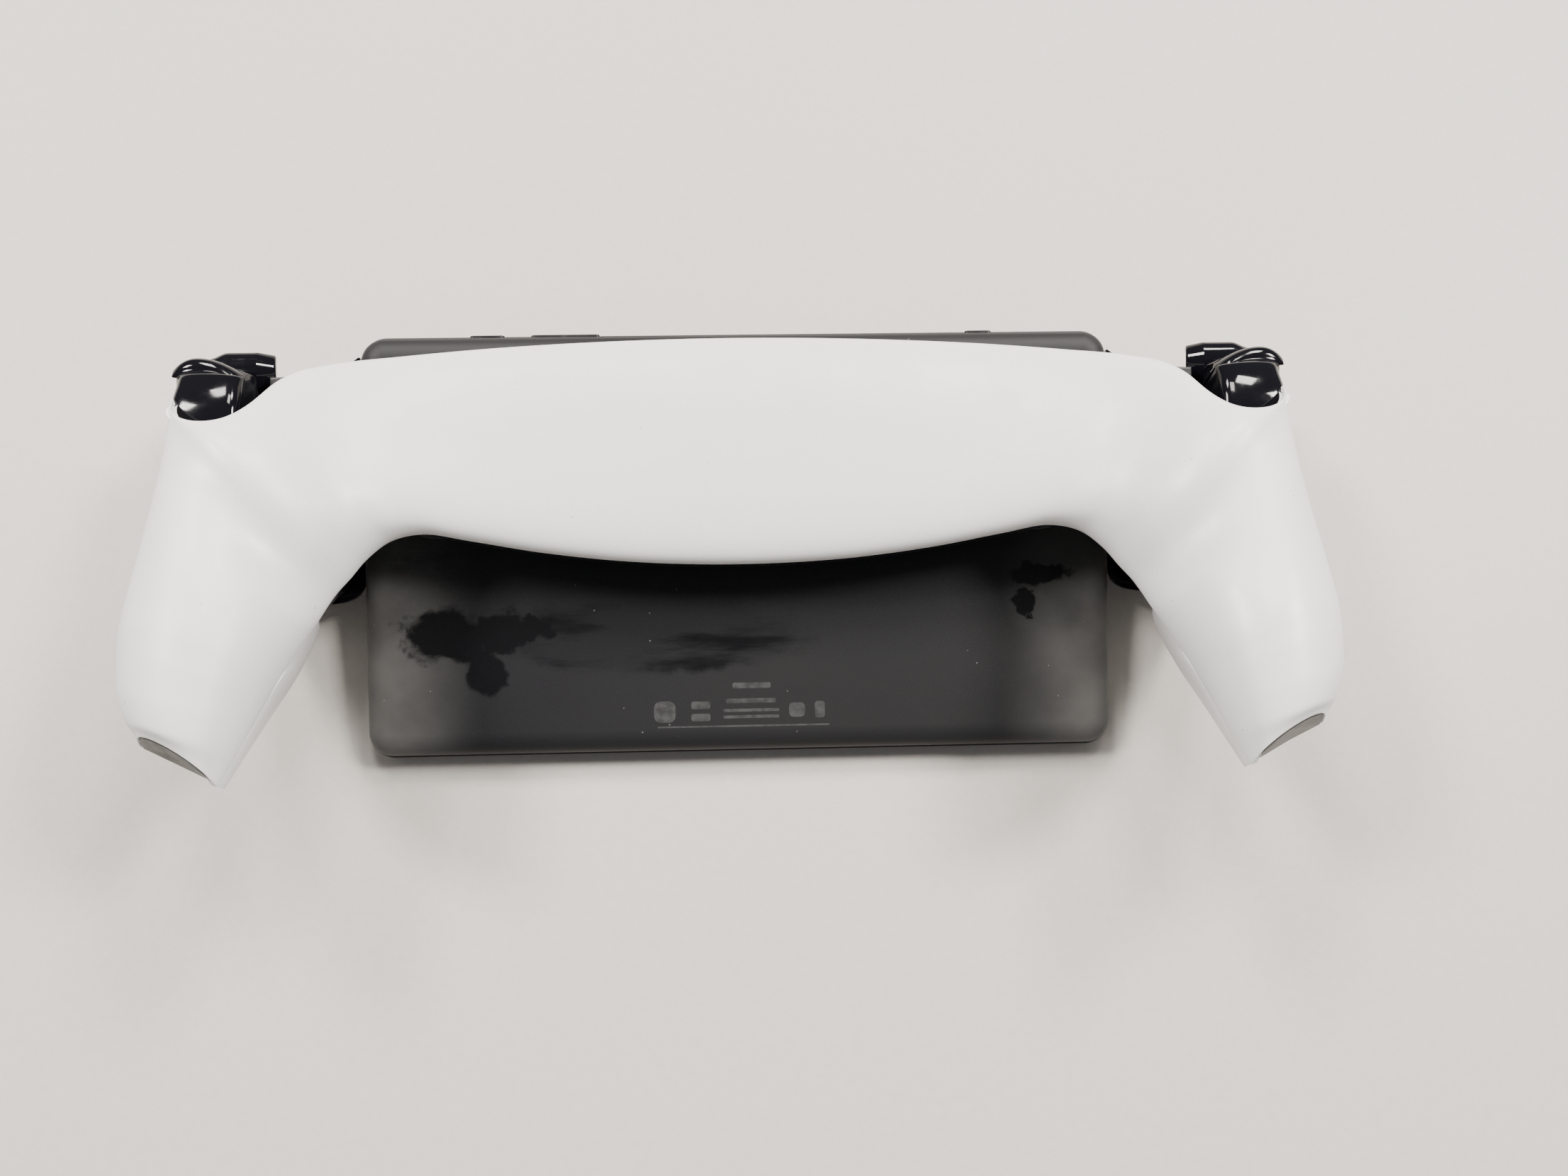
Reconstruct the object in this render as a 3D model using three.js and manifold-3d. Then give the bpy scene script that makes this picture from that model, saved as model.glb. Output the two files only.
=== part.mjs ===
// Handheld remote-play game controller: a tablet screen held between two grips by a one-piece
// white rear shell. It lies face down on its two thumbsticks and the lower edge of the tablet,
// so +Z points out of its back, +Y towards the triggers and +X along its length.
//
// The pieces are drawn in the controller's own frame, in millimetres: x along the length,
// y up the screen, z out of the back, with z = 0 on the front of the screen. The whole
// controller is then tipped by restTilt and lifted until it stands on z = 0.

import * as THREE from 'three';
import { mergeVertices } from 'three/addons/utils/BufferGeometryUtils.js';
import Module from 'manifold-3d';

const wasm = await Module();
wasm.setup();

// ---- Driving dimensions ----------------------------------------------------------------

const gap = 0.35;                 // left between pieces that touch
const tabletWidth = 197.6;
const tabletHeight = 111.0;
const tabletDepth = 10.0;
const tabletCorner = 6.8;
const frameDepth = 3.8;
const frameEdge = 0.25;           // rounding of the frame's front and rear edges
const shellWall = 2.2;
const deckFront = 2.2;            // the control decks sit this far behind the glass
const deckThickness = 2.4;
const deckInner = tabletWidth / 2 + 0.4;
const deckBack = deckFront + deckThickness;
const sideCentre = 113.5;         // thumbstick, cross pad and button cluster, from the middle
const stickCapRadius = 9.0;
const stickRimRadius = 8.0;
const stickHeight = 0.0;          // y of the thumbsticks
const stickPivot = 9.5;           // z of the gimbal's centre
const clusterHeight = 25.5;       // y of the cross pad and of the button cluster
const restTilt = THREE.MathUtils.degToRad(10);
const originShift = 3.743;        // moves the middle of the footprint onto the origin

// The caps stand proud of the glass by just enough to touch the table with the tablet's edge.
const frontEdgeHeight = tabletHeight / 2 - frameEdge;
const stickProud = Math.tan(restTilt) * (frontEdgeHeight + stickHeight - stickRimRadius);
const restLift = Math.sin(restTilt) * frontEdgeHeight;

// Stations of the rear shell's right half, from the middle of the bridge to the end of the
// grip. Each has a point on the outer edge, one on the inner edge, and [rise, squareness,
// lean] of the arch between them. The edge has a corner beside the trigger.
const cornerStation = 9;
const shellStations = [
  { outer: [0, 52.4, 13.0], inner: [0, -5.7, 23.0], arch: [8.5, 2.6, 0.0] },
  { outer: [30, 51.9, 13.0], inner: [25, -4.8, 23.0], arch: [8.6, 2.6, 0.0] },
  { outer: [60, 50.4, 13.5], inner: [48, -2.2, 23.5], arch: [9.0, 2.6, 0.0] },
  { outer: [84, 48.2, 15.0], inner: [66, 1.0, 24.8], arch: [9.8, 2.5, 0.0] },
  { outer: [100, 45.5, 19.5], inner: [77, 2.8, 26.5], arch: [10.8, 2.4, 0.02] },
  { outer: [109, 40.9, 27.0], inner: [84, 1.2, 29.0], arch: [12.0, 2.35, 0.05] },
  { outer: [113.4, 33.4, 35.5], inner: [88.8, -3.0, 32.0], arch: [11.8, 2.25, 0.08] },
  { outer: [119.0, 28.4, 41.0], inner: [92.5, -8.2, 35.0], arch: [12.0, 2.2, 0.12] },
  { outer: [125.0, 27.4, 43.4], inner: [95, -12, 37.2], arch: [12.4, 2.15, 0.16] },
  { outer: [129.4, 32.4, 43.0], inner: [97, -16, 39.4], arch: [13.4, 2.15, 0.2] },
  { outer: [132.6, 16, 37.2], inner: [99, -20, 42.0], arch: [17.6, 2.15, 0.26] },
  { outer: [136.8, 1, 37.4], inner: [101, -24.4, 45.0], arch: [19.8, 2.1, 0.3] },
  { outer: [138.9, -13, 40.0], inner: [103, -29, 48.2], arch: [20.4, 2.1, 0.3] },
  { outer: [139.2, -24, 43.6], inner: [105, -34, 51.4], arch: [19.2, 2.1, 0.28] },
  { outer: [137.0, -33, 48.0], inner: [107, -39.6, 54.8], arch: [16.8, 2.1, 0.24] },
  { outer: [133.4, -39.4, 53.0], inner: [109.2, -45.8, 58.8], arch: [13.2, 2.1, 0.28] },
  { outer: [129.2, -43.4, 58.6], inner: [111.6, -52, 62.8], arch: [9.0, 2.1, 0.4] },
];

// Stations of a grip's front cover: a station of the shell's outer edge, then either a point
// on the edge of the control deck or a station of the shell's inner edge, and the bulge
// between them.
const seamDrop = 1.0;             // the front cover's edge lies this far below the shell's
const frontStations = [
  { shell: 9.05, deck: [130.6, 34, 5.2], bulge: [2.4, 0, -2] },
  { shell: 10.0, deck: [131.4, 20, 5.2], bulge: [3.8, 0, -4] },
  { shell: 10.7, deck: [131.0, 6, 5.2], bulge: [5.0, -1, -6] },
  { shell: 11.2, deck: [127.6, -5, 5.4], bulge: [5.6, -3, -9] },
  { shell: 11.6, deck: [119.5, -14.4, 6.4], bulge: [5.2, -6, -12] },
  { shell: 12.0, deck: [111.5, -16.2, 8.5], bulge: [4.0, -8, -15] },
  { shell: 12.5, deck: [105.6, -17.6, 20], bulge: [2.6, -9, -18] },
  { shell: 13.0, deck: [102.6, -20.8, 34], bulge: [1.2, -9, -20] },
  { shell: 13.5, inner: 11.7, bulge: [0.4, -8, -20] },
  { shell: 14.0, inner: 13.2, bulge: [0, -7, -17] },
  { shell: 15.0, inner: 14.7, bulge: [0, -5, -13] },
  { shell: 16.0, inner: 16.0, bulge: [-1, -2, -9] },
];

// Stations of the black liner that closes the bridge and the grip beside the tablet: a point
// under the shell's inner edge and one on the tablet's back or on the control deck.
const linerStations = [
  { outer: [80.5, 3.9, 25.8], inner: [81.0, 4.2, 10.6] },
  { outer: [86.0, 1.5, 28.8], inner: [89.5, 2.8, 10.6] },
  { outer: [90.4, -3.4, 32.0], inner: [100.8, -1.5, 11.2] },
  { outer: [94.0, -8.6, 35.0], inner: [101.2, -5.5, 5.2] },
  { outer: [96.6, -12.6, 37.0], inner: [102.6, -10.2, 5.2] },
  { outer: [99.2, -17.0, 39.0], inner: [106.0, -13.2, 5.2] },
];

// ---- Materials -------------------------------------------------------------------------

function plastic(color, roughness, metalness = 0) {
  return new THREE.MeshStandardMaterial({ color, roughness, metalness });
}

const finish = {
  whiteShell: plastic(0xececea, 0.45),
  glossBlack: plastic(0x0b0b0d, 0.12),
  matteBlack: plastic(0x2c2d2f, 0.55),
  innerBlack: plastic(0x1a1b1d, 0.5),
  greyTrim: plastic(0x6a6c6b, 0.5),
  glass: plastic(0x08090b, 0.05),
  rubber: plastic(0x1c1c1e, 0.8),
  membrane: plastic(0x9aa3a0, 0.75),
  board: plastic(0x17442b, 0.5),
  cell: plastic(0x4a4f55, 0.4),
  steel: plastic(0xb8babd, 0.3, 1.0),
};

// ---- Solids ----------------------------------------------------------------------------

function merged(geometry) {
  const bare = geometry.clone();
  bare.deleteAttribute('normal');
  bare.deleteAttribute('uv');
  return mergeVertices(bare, 1e-4);
}

function toSolid(geometry) {
  const bare = merged(geometry);
  return new wasm.Manifold(new wasm.Mesh({
    numProp: 3,
    vertProperties: new Float32Array(bare.attributes.position.array),
    triVerts: new Uint32Array(bare.index.array),
  }));
}

function fromSolid(solid) {
  const result = solid.getMesh();
  const geometry = new THREE.BufferGeometry();
  geometry.setAttribute('position', new THREE.BufferAttribute(result.vertProperties, 3));
  geometry.setIndex(new THREE.BufferAttribute(result.triVerts, 1));
  geometry.computeVertexNormals();
  return geometry;
}

function cut(geometry, ...tools) {
  let solid = toSolid(geometry);
  for (const tool of tools) solid = solid.subtract(toSolid(tool));
  return fromSolid(solid);
}

function join(geometry, ...others) {
  let solid = toSolid(geometry);
  for (const other of others) solid = solid.add(toSolid(other));
  return fromSolid(solid);
}

// A box given by its low and high corners.
function block(low, high) {
  const geometry = new THREE.BoxGeometry(high[0] - low[0], high[1] - low[1], high[2] - low[2]);
  return geometry.translate(
    (low[0] + high[0]) / 2,
    (low[1] + high[1]) / 2,
    (low[2] + high[2]) / 2,
  );
}

// A round bar along z, y or x, from one end to the other.
function bar(radius, from, to, centre, along = 'z', segments = 32) {
  const geometry = new THREE.CylinderGeometry(radius, radius, to - from, segments);
  const middle = (from + to) / 2;
  if (along === 'z') {
    return geometry.rotateX(Math.PI / 2).translate(centre[0], centre[1], middle);
  }
  if (along === 'x') {
    return geometry.rotateZ(Math.PI / 2).translate(middle, centre[0], centre[1]);
  }
  return geometry.translate(centre[0], middle, centre[1]);
}

function roundedRectangle(width, height, radius) {
  const shape = new THREE.Shape();
  const x = width / 2;
  const y = height / 2;
  shape.moveTo(-x + radius, -y);
  shape.lineTo(x - radius, -y);
  shape.absarc(x - radius, -y + radius, radius, -Math.PI / 2, 0, false);
  shape.lineTo(x, y - radius);
  shape.absarc(x - radius, y - radius, radius, 0, Math.PI / 2, false);
  shape.lineTo(-x + radius, y);
  shape.absarc(-x + radius, y - radius, radius, Math.PI / 2, Math.PI, false);
  shape.lineTo(-x, -y + radius);
  shape.absarc(-x + radius, -y + radius, radius, Math.PI, Math.PI * 1.5, false);
  return shape;
}

// A plate between two heights, with an optional rounded edge on both faces.
function plate(shape, from, to, edge = 0, curveSegments = 6) {
  const geometry = new THREE.ExtrudeGeometry(shape, {
    depth: to - from - 2 * edge,
    bevelEnabled: edge > 0,
    bevelThickness: edge,
    bevelSize: edge,
    bevelOffset: -edge,
    bevelSegments: 2,
    curveSegments,
  });
  return geometry.translate(0, 0, from + edge);
}

// A profile in y and z, extruded along x between two places, with rounded ends.
function slab(points, from, to, edge) {
  const shape = new THREE.Shape(points.map(([y, z]) => new THREE.Vector2(y, z)));
  const geometry = new THREE.ExtrudeGeometry(shape, {
    depth: to - from - 2 * edge,
    bevelEnabled: edge > 0,
    bevelThickness: edge,
    bevelSize: edge,
    bevelOffset: -edge,
    bevelSegments: 2,
  });
  const basis = new THREE.Matrix4().makeBasis(
    new THREE.Vector3(0, 1, 0),
    new THREE.Vector3(0, 0, 1),
    new THREE.Vector3(1, 0, 0),
  );
  return geometry.translate(0, 0, from + edge).applyMatrix4(basis);
}

function mirrored(geometry) {
  const flipped = merged(geometry).scale(-1, 1, 1);
  const index = flipped.index;
  for (let i = 0; i < index.count; i += 3) {
    const second = index.getX(i + 1);
    index.setX(i + 1, index.getX(i + 2));
    index.setX(i + 2, second);
  }
  flipped.computeVertexNormals();
  return flipped;
}

// Makes a closed wall from a grid of points on its outer face. The inner face lies one wall
// thickness behind it, and the four edges are closed.
function wallFromGrid(rows, thickness) {
  const rowCount = rows.length;
  const columnCount = rows[0].length;
  const at = (r, c) => rows[Math.min(Math.max(r, 0), rowCount - 1)][
    Math.min(Math.max(c, 0), columnCount - 1)];
  const outer = [];
  const inner = [];
  for (let r = 0; r < rowCount; r += 1) {
    for (let c = 0; c < columnCount; c += 1) {
      const along = at(r + 1, c).clone().sub(at(r - 1, c));
      const across = at(r, c + 1).clone().sub(at(r, c - 1));
      const normal = along.cross(across).normalize();
      outer.push(rows[r][c]);
      inner.push(rows[r][c].clone().addScaledVector(normal, -thickness));
    }
  }
  const total = outer.length;
  const index = [];
  const quad = (a, b, c, d) => index.push(a, b, c, a, c, d);
  for (let r = 0; r < rowCount - 1; r += 1) {
    for (let c = 0; c < columnCount - 1; c += 1) {
      const a = r * columnCount + c;
      const b = a + columnCount;
      quad(a, b, b + 1, a + 1);
      quad(total + a, total + a + 1, total + b + 1, total + b);
    }
  }
  for (let r = 0; r < rowCount - 1; r += 1) {
    const low = r * columnCount;
    const high = low + columnCount - 1;
    quad(low, total + low, total + low + columnCount, low + columnCount);
    quad(high + columnCount, total + high + columnCount, total + high, high);
  }
  for (let c = 0; c < columnCount - 1; c += 1) {
    const end = (rowCount - 1) * columnCount + c;
    quad(c + 1, total + c + 1, total + c, c);
    quad(end, total + end, total + end + 1, end + 1);
  }
  const geometry = new THREE.BufferGeometry();
  const points = [...outer, ...inner].flatMap((p) => [p.x, p.y, p.z]);
  geometry.setAttribute('position', new THREE.Float32BufferAttribute(points, 3));
  geometry.setIndex(index);
  geometry.computeVertexNormals();
  return geometry;
}

const smooth = (points) => new THREE.CatmullRomCurve3(
  points.map((p) => new THREE.Vector3(...p)), false, 'centripetal');

const flip = ([x, y, z]) => [-x, y, z];

// ---- Rear shell ------------------------------------------------------------------------

// The point of the shell at a station (negative on the left) and a place across the arch,
// from 0 on the outer edge to 1 on the inner edge.
const outerBridge = smooth([
  ...shellStations.slice(1, cornerStation + 1).reverse().map((s) => flip(s.outer)),
  ...shellStations.slice(0, cornerStation + 1).map((s) => s.outer),
]);
const outerGrip = smooth(shellStations.slice(cornerStation).map((s) => s.outer));
const lastStation = shellStations.length - 1;
const bothSides = (pick, mirror) => smooth([
  ...shellStations.slice(1).reverse().map((s) => mirror(pick(s))),
  ...shellStations.map(pick),
]);
const innerEdge = bothSides((s) => s.inner, flip);
const archShape = bothSides((s) => s.arch, (arch) => arch);

function shellOuter(station) {
  const side = Math.sign(station) || 1;
  const distance = Math.abs(station);
  if (distance <= cornerStation) {
    return outerBridge.getPoint((station / cornerStation + 1) / 2);
  }
  const along = (distance - cornerStation) / (lastStation - cornerStation);
  const point = outerGrip.getPoint(along);
  point.x *= side;
  return point;
}

function shellInner(station) {
  return innerEdge.getPoint((station / lastStation + 1) / 2);
}

function archHeight(t, squareness) {
  const fromMiddle = Math.abs(2 * t - 1);
  return Math.max(0, 1 - fromMiddle ** squareness) ** (1 / squareness);
}

function shellPoint(station, t) {
  const arch = archShape.getPoint((station / lastStation + 1) / 2);
  const point = shellOuter(station).lerp(shellInner(station), t);
  const height = arch.x * archHeight(t, arch.y);
  point.y += height * arch.z;
  point.z += height * Math.sqrt(1 - arch.z * arch.z);
  return point;
}

function acrossSteps(count) {
  return Array.from({ length: count + 1 }, (_, i) => (1 - Math.cos(Math.PI * i / count)) / 2);
}

function rearShell() {
  const stepsPerStation = 2;
  const steps = lastStation * stepsPerStation;
  const rows = [];
  for (let i = -steps; i <= steps; i += 1) {
    rows.push(acrossSteps(12).map((t) => shellPoint(i / stepsPerStation, t)));
  }
  return wallFromGrid(rows.reverse(), shellWall);
}

// ---- Strips between two edges ----------------------------------------------------------

function strip(stations, stepsPerStation, across, thickness) {
  const outer = smooth(stations.map((s) => s.outer));
  const inner = smooth(stations.map((s) => s.inner));
  const bulge = smooth(stations.map((s) => s.bulge ?? [0, 0, 0]));
  const steps = (stations.length - 1) * stepsPerStation;
  const rows = [];
  for (let i = 0; i <= steps; i += 1) {
    const along = i / steps;
    const a = outer.getPoint(along);
    const b = inner.getPoint(along);
    const push = bulge.getPoint(along);
    rows.push(acrossSteps(across).map((t) => a.clone().lerp(b, t)
      .addScaledVector(push, archHeight(t, 2))));
  }
  return wallFromGrid(rows, thickness);
}

function underSeam(point) {
  return [point.x, point.y, point.z - seamDrop];
}

const frontEdges = frontStations.map((s) => ({
  outer: underSeam(shellOuter(s.shell)),
  inner: s.deck ?? underSeam(shellInner(s.inner)),
  bulge: s.bulge,
}));

function frontCover() {
  return strip(frontEdges, 2, 9, 2.0);
}

function sideLiner() {
  return strip(linerStations, 2, 3, 1.2);
}

// The black wall under the bridge's lower edge, which holds the two sockets.
function bridgeSkirt() {
  const reach = 4.1;
  const count = 28;
  const rows = [];
  for (let i = 0; i <= count; i += 1) {
    const edge = shellInner(reach * (2 * i / count - 1));
    const top = new THREE.Vector3(edge.x, edge.y + 1.0, edge.z - 0.7);
    const foot = new THREE.Vector3(edge.x, edge.y + 1.0, tabletDepth + 0.6);
    rows.push([top, foot]);
  }
  const wall = wallFromGrid(rows, 1.6);
  const usbSlot = block([-5.2, -9, 12.6], [5.2, 2, 16.6]);
  const audioHole = bar(3.4, -9, 2, [17, 15.6], 'y', 24);
  return cut(wall, usbSlot, audioHole);
}

// The lens-shaped insert in the cut end of a grip.
function gripEndTrim() {
  const inset = 0.72;
  const thickness = 2.0;
  const above = [];
  const below = [];
  const frontOuter = new THREE.Vector3(...frontEdges.at(-1).outer);
  const frontInner = new THREE.Vector3(...frontEdges.at(-1).inner);
  const frontBulge = new THREE.Vector3(...frontEdges.at(-1).bulge);
  for (const t of acrossSteps(14)) {
    above.push(shellPoint(lastStation, t));
    below.push(frontOuter.clone().lerp(frontInner, t).addScaledVector(frontBulge, archHeight(t, 2)));
  }
  const rim = [...above, ...below.slice(1, -1).reverse()];
  const centre = rim.reduce((sum, p) => sum.add(p), new THREE.Vector3()).divideScalar(rim.length);
  const across = above[0].clone().sub(above.at(-1)).normalize();
  const up = above[7].clone().sub(below[7]).normalize();
  const normal = across.clone().cross(up).normalize();
  if (normal.y > 0) normal.negate();
  const points = [];
  for (const lift of [-thickness * 0.5, thickness * 0.5]) {
    for (const p of rim) {
      const inward = p.clone().sub(centre);
      inward.addScaledVector(normal, -inward.dot(normal)).multiplyScalar(inset);
      points.push(centre.clone().add(inward).addScaledVector(normal, lift + 0.9));
    }
  }
  const count = rim.length;
  points.push(centre.clone().addScaledVector(normal, -thickness * 0.5 + 0.9));
  points.push(centre.clone().addScaledVector(normal, thickness * 0.5 + 1.6));
  const index = [];
  for (let i = 0; i < count; i += 1) {
    const next = (i + 1) % count;
    index.push(i, next, count + next, i, count + next, count + i);
    index.push(2 * count, next, i);
    index.push(2 * count + 1, count + i, count + next);
  }
  const geometry = new THREE.BufferGeometry();
  const flat = points.flatMap((p) => [p.x, p.y, p.z]);
  geometry.setAttribute('position', new THREE.Float32BufferAttribute(flat, 3));
  geometry.setIndex(index);
  const volume = toSolidVolume(geometry);
  return volume > 0 ? geometry : turnedOut(geometry);
}

// Six times the signed volume of a closed mesh: negative when its faces point inwards.
function toSolidVolume(geometry) {
  const position = geometry.attributes.position;
  const index = geometry.index;
  let total = 0;
  const corner = [new THREE.Vector3(), new THREE.Vector3(), new THREE.Vector3()];
  for (let i = 0; i < index.count; i += 3) {
    corner.forEach((v, k) => v.fromBufferAttribute(position, index.getX(i + k)));
    total += corner[0].dot(corner[1].clone().cross(corner[2]));
  }
  return total;
}

function turnedOut(geometry) {
  const index = geometry.index;
  for (let i = 0; i < index.count; i += 3) {
    const second = index.getX(i + 1);
    index.setX(i + 1, index.getX(i + 2));
    index.setX(i + 2, second);
  }
  geometry.computeVertexNormals();
  return geometry;
}

// ---- Control decks ---------------------------------------------------------------------

const holes = {
  stick: { at: [sideCentre, stickHeight], radius: 12.8 },
  menu: { at: [104.0, 40.6], radius: 2.4 },
  lower: { at: [103.2, 12.6], radius: 2.6 },
};
const faceButtons = [
  { name: 'face_button_upper', at: [sideCentre, clusterHeight + 8.4] },
  { name: 'face_button_lower', at: [sideCentre, clusterHeight - 8.4] },
  { name: 'face_button_inner', at: [sideCentre - 8.4, clusterHeight] },
  { name: 'face_button_outer', at: [sideCentre + 8.4, clusterHeight] },
];
const faceButtonRadius = 4.6;
const crossPadRadius = 10.4;
const runningGap = 0.4;

function deckOutline() {
  const shape = new THREE.Shape();
  shape.moveTo(deckInner, 50.4);
  shape.lineTo(deckInner, -8.0);
  shape.bezierCurveTo(deckInner, -14.2, 105.0, -14.6, 112.0, -14.6);
  shape.bezierCurveTo(122.0, -14.6, 129.6, -8.0, 129.9, 6.0);
  shape.lineTo(129.9, 32.0);
  shape.bezierCurveTo(129.4, 39.0, 124.0, 42.6, 117.0, 43.4);
  shape.bezierCurveTo(108.0, 44.2, 104.0, 47.0, deckInner, 50.4);
  return shape;
}

function deck(isCrossSide) {
  const hole = (item, extra) => bar(item.radius + extra, 0, 8, item.at);
  const tools = [hole(holes.stick, 0), hole(holes.menu, runningGap), hole(holes.lower, runningGap)];
  if (isCrossSide) {
    tools.push(bar(crossPadRadius + runningGap, 0, 8, [sideCentre, clusterHeight]));
  } else {
    for (const button of faceButtons) {
      tools.push(bar(faceButtonRadius + runningGap, 0, 8, button.at));
    }
  }
  return cut(plate(deckOutline(), deckFront, deckBack, 0, 10), ...tools);
}

// The black housing between a deck and the shell's shoulder. It carries the pins of the
// bumper and the trigger.
const triggerPivot = [31.5, 15.0];
const pinRadius = 1.2;
const pinPlay = 0.06;
const pinInner = 110;
const housingFront = 9.4;

function shoulderHousing() {
  const shape = new THREE.Shape();
  shape.moveTo(100.8, 30.0);
  shape.lineTo(116.6, 30.0);
  shape.lineTo(116.6, 42.9);
  shape.bezierCurveTo(108.0, 43.3, 104.0, 44.0, 100.8, 44.4);
  shape.lineTo(100.8, 30.0);
  return cut(
    plate(shape, housingFront, 18.8, 0.5),
    bar(pinRadius + pinPlay, pinInner, 118, triggerPivot, 'x', 24),
  );
}

// ---- Triggers and bumpers --------------------------------------------------------------

const bumperPivot = [40.2, 7.6];
const triggerSide = [117.8, 135.6];
const triggerWaist = 129.0;       // the trigger is narrower where it dips behind the shell
const triggerNeck = 134.2;        // and a little narrower under its flared lip
const bumperSide = [117.4, 133.0];

function trigger() {
  const profile = [
    [28.9, 17.8], [28.4, 13.6], [31.0, 11.7], [34.0, 12.6], [35.6, 16.0], [38.8, 20.6],
    [43.0, 22.4], [46.0, 23.8], [47.6, 26.2], [46.8, 28.6], [43.4, 29.6], [40.0, 31.2],
    [36.8, 33.0], [33.0, 34.6], [27.6, 35.0], [26.6, 33.0], [28.8, 28.0],
  ];
  const body = slab(profile, triggerSide[0], triggerSide[1], 0.9);
  const waist = block([triggerWaist, 20, 8], [triggerSide[1] + 2, 36.6, 45]);
  const neck = block([triggerNeck, 36, 8], [triggerSide[1] + 2, 41.8, 45]);
  return cut(body, waist, neck, bar(pinRadius + pinPlay, 117, 135, triggerPivot, 'x', 24));
}

function bumper() {
  const profile = [
    [37.4, 8.0], [38.6, 5.8], [42.0, 5.6], [45.6, 5.8], [49.2, 8.0], [50.4, 12.4],
    [49.8, 16.4], [46.0, 18.4], [42.0, 17.0], [39.2, 14.4], [37.8, 11.4],
  ];
  const body = slab(profile, bumperSide[0], bumperSide[1], 0.8);
  return cut(body, bar(pinRadius + pinPlay, 116, 135, bumperPivot, 'x', 24));
}

// ---- Thumbsticks -----------------------------------------------------------------------

function turned(profile, centre, segments = 36) {
  const points = profile.map(([radius, height]) => new THREE.Vector2(radius, height));
  const geometry = new THREE.LatheGeometry(points, segments);
  return geometry.rotateX(Math.PI / 2).translate(centre[0], centre[1], 0);
}

// The cap has a dished top inside a raised rim, and a skirt that hides the stem.
function stickCap() {
  const top = -stickProud;
  const profile = [
    [0, top + 1.1], [5.2, top + 0.9], [7.0, top + 0.1], [stickRimRadius, top],
    [stickCapRadius, top + 0.5],
    [stickCapRadius, top + 2.2], [7.4, top + 3.4], [5.2, top + 4.2], [4.6, top + 7.0],
    [4.0, stickPivot - 6.6], [2.2, stickPivot - 5.6], [2.2, stickPivot - 3.6],
    [0, stickPivot - 3.6],
  ];
  return turned(profile, [sideCentre, stickHeight]);
}

function stickGimbal() {
  const profile = [
    [0, stickPivot - 2.4], [3.0, stickPivot - 2.4], [5.0, stickPivot - 0.8],
    [5.0, stickPivot + 0.6], [3.6, stickPivot + 2.0], [0, stickPivot + 2.0],
  ];
  return turned(profile, [sideCentre, stickHeight], 20);
}

function stickBase() {
  const x = sideCentre;
  const y = stickHeight;
  const low = stickPivot + 3.4;
  return block([x - 6, y - 6, low], [x + 6, y + 6, low + 2.4]);
}

// The open box that the stick's gimbal and base sit in, screwed behind the deck.
function stickHousing() {
  const x = sideCentre;
  const y = stickHeight;
  const body = block([x - 9.4, y - 9.4, 8.6], [x + 9.4, y + 9.4, 18.4]);
  return cut(body, block([x - 8.2, y - 8.2, 7.0], [x + 8.2, y + 8.2, 16.8]));
}

// ---- Buttons ---------------------------------------------------------------------------

// A round button with a domed face and a collar that stops it in its hole.
function roundButton(radius, centre, proud) {
  const profile = [
    [0, deckFront - proud], [radius * 0.7, deckFront - proud + 0.15],
    [radius, deckFront - proud + 0.8], [radius, deckBack + gap], [radius + 0.6, deckBack + gap],
    [radius + 0.6, deckBack + gap + 0.8], [0, deckBack + gap + 0.8],
  ];
  return turned(profile, centre, 24);
}

function crossPad() {
  const arm = 3.5;
  const reach = crossPadRadius - 0.9;
  const [x, y] = [sideCentre, clusterHeight];
  const front = deckFront - 1.6;
  return join(
    block([x - reach, y - arm, front], [x + reach, y + arm, deckBack]),
    block([x - arm, y - reach, front], [x + arm, y + reach, deckBack]),
  );
}

function crossPadRocker() {
  return bar(3.0, deckBack + gap, deckBack + 1.6, [sideCentre, clusterHeight], 'z', 24);
}

function membrane() {
  return plate(roundedRectangle(23, 23, 5), deckBack + 3.0, deckBack + 4.0)
    .translate(sideCentre - 1, clusterHeight - 2, 0);
}

const edgeButtons = [
  { name: 'power_button', from: -70, to: -61, depth: [3.0, 5.2] },
  { name: 'link_button', from: 61, to: 68, depth: [3.0, 5.2] },
  { name: 'volume_rocker', from: -54, to: -36, depth: [3.0, 5.2] },
];
const edgeButtonProud = 0.5;

function edgeButton(button) {
  const top = tabletHeight / 2;
  return block(
    [button.from, top - 2.6, button.depth[0]],
    [button.to, top + edgeButtonProud, button.depth[1]],
  );
}

function edgeButtonHole(button) {
  const top = tabletHeight / 2;
  const room = 0.3;
  return block(
    [button.from - room, top - 4, button.depth[0] - room],
    [button.to + room, top + 2, button.depth[1] + room],
  );
}

// ---- Tablet ----------------------------------------------------------------------------

const screenWidth = 182.0;
const screenHeight = 102.0;

function tabletFrame() {
  const outer = plate(roundedRectangle(tabletWidth, tabletHeight, tabletCorner),
    0, frameDepth, frameEdge);
  const opening = plate(roundedRectangle(tabletWidth - 3.2, tabletHeight - 3.2, 5.4), -1, frameDepth + 1);
  return cut(outer, opening, ...edgeButtons.map(edgeButtonHole));
}

function coverGlass() {
  return plate(roundedRectangle(tabletWidth - 3.9, tabletHeight - 3.9, 5.0), 0.15, 1.0);
}

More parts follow.
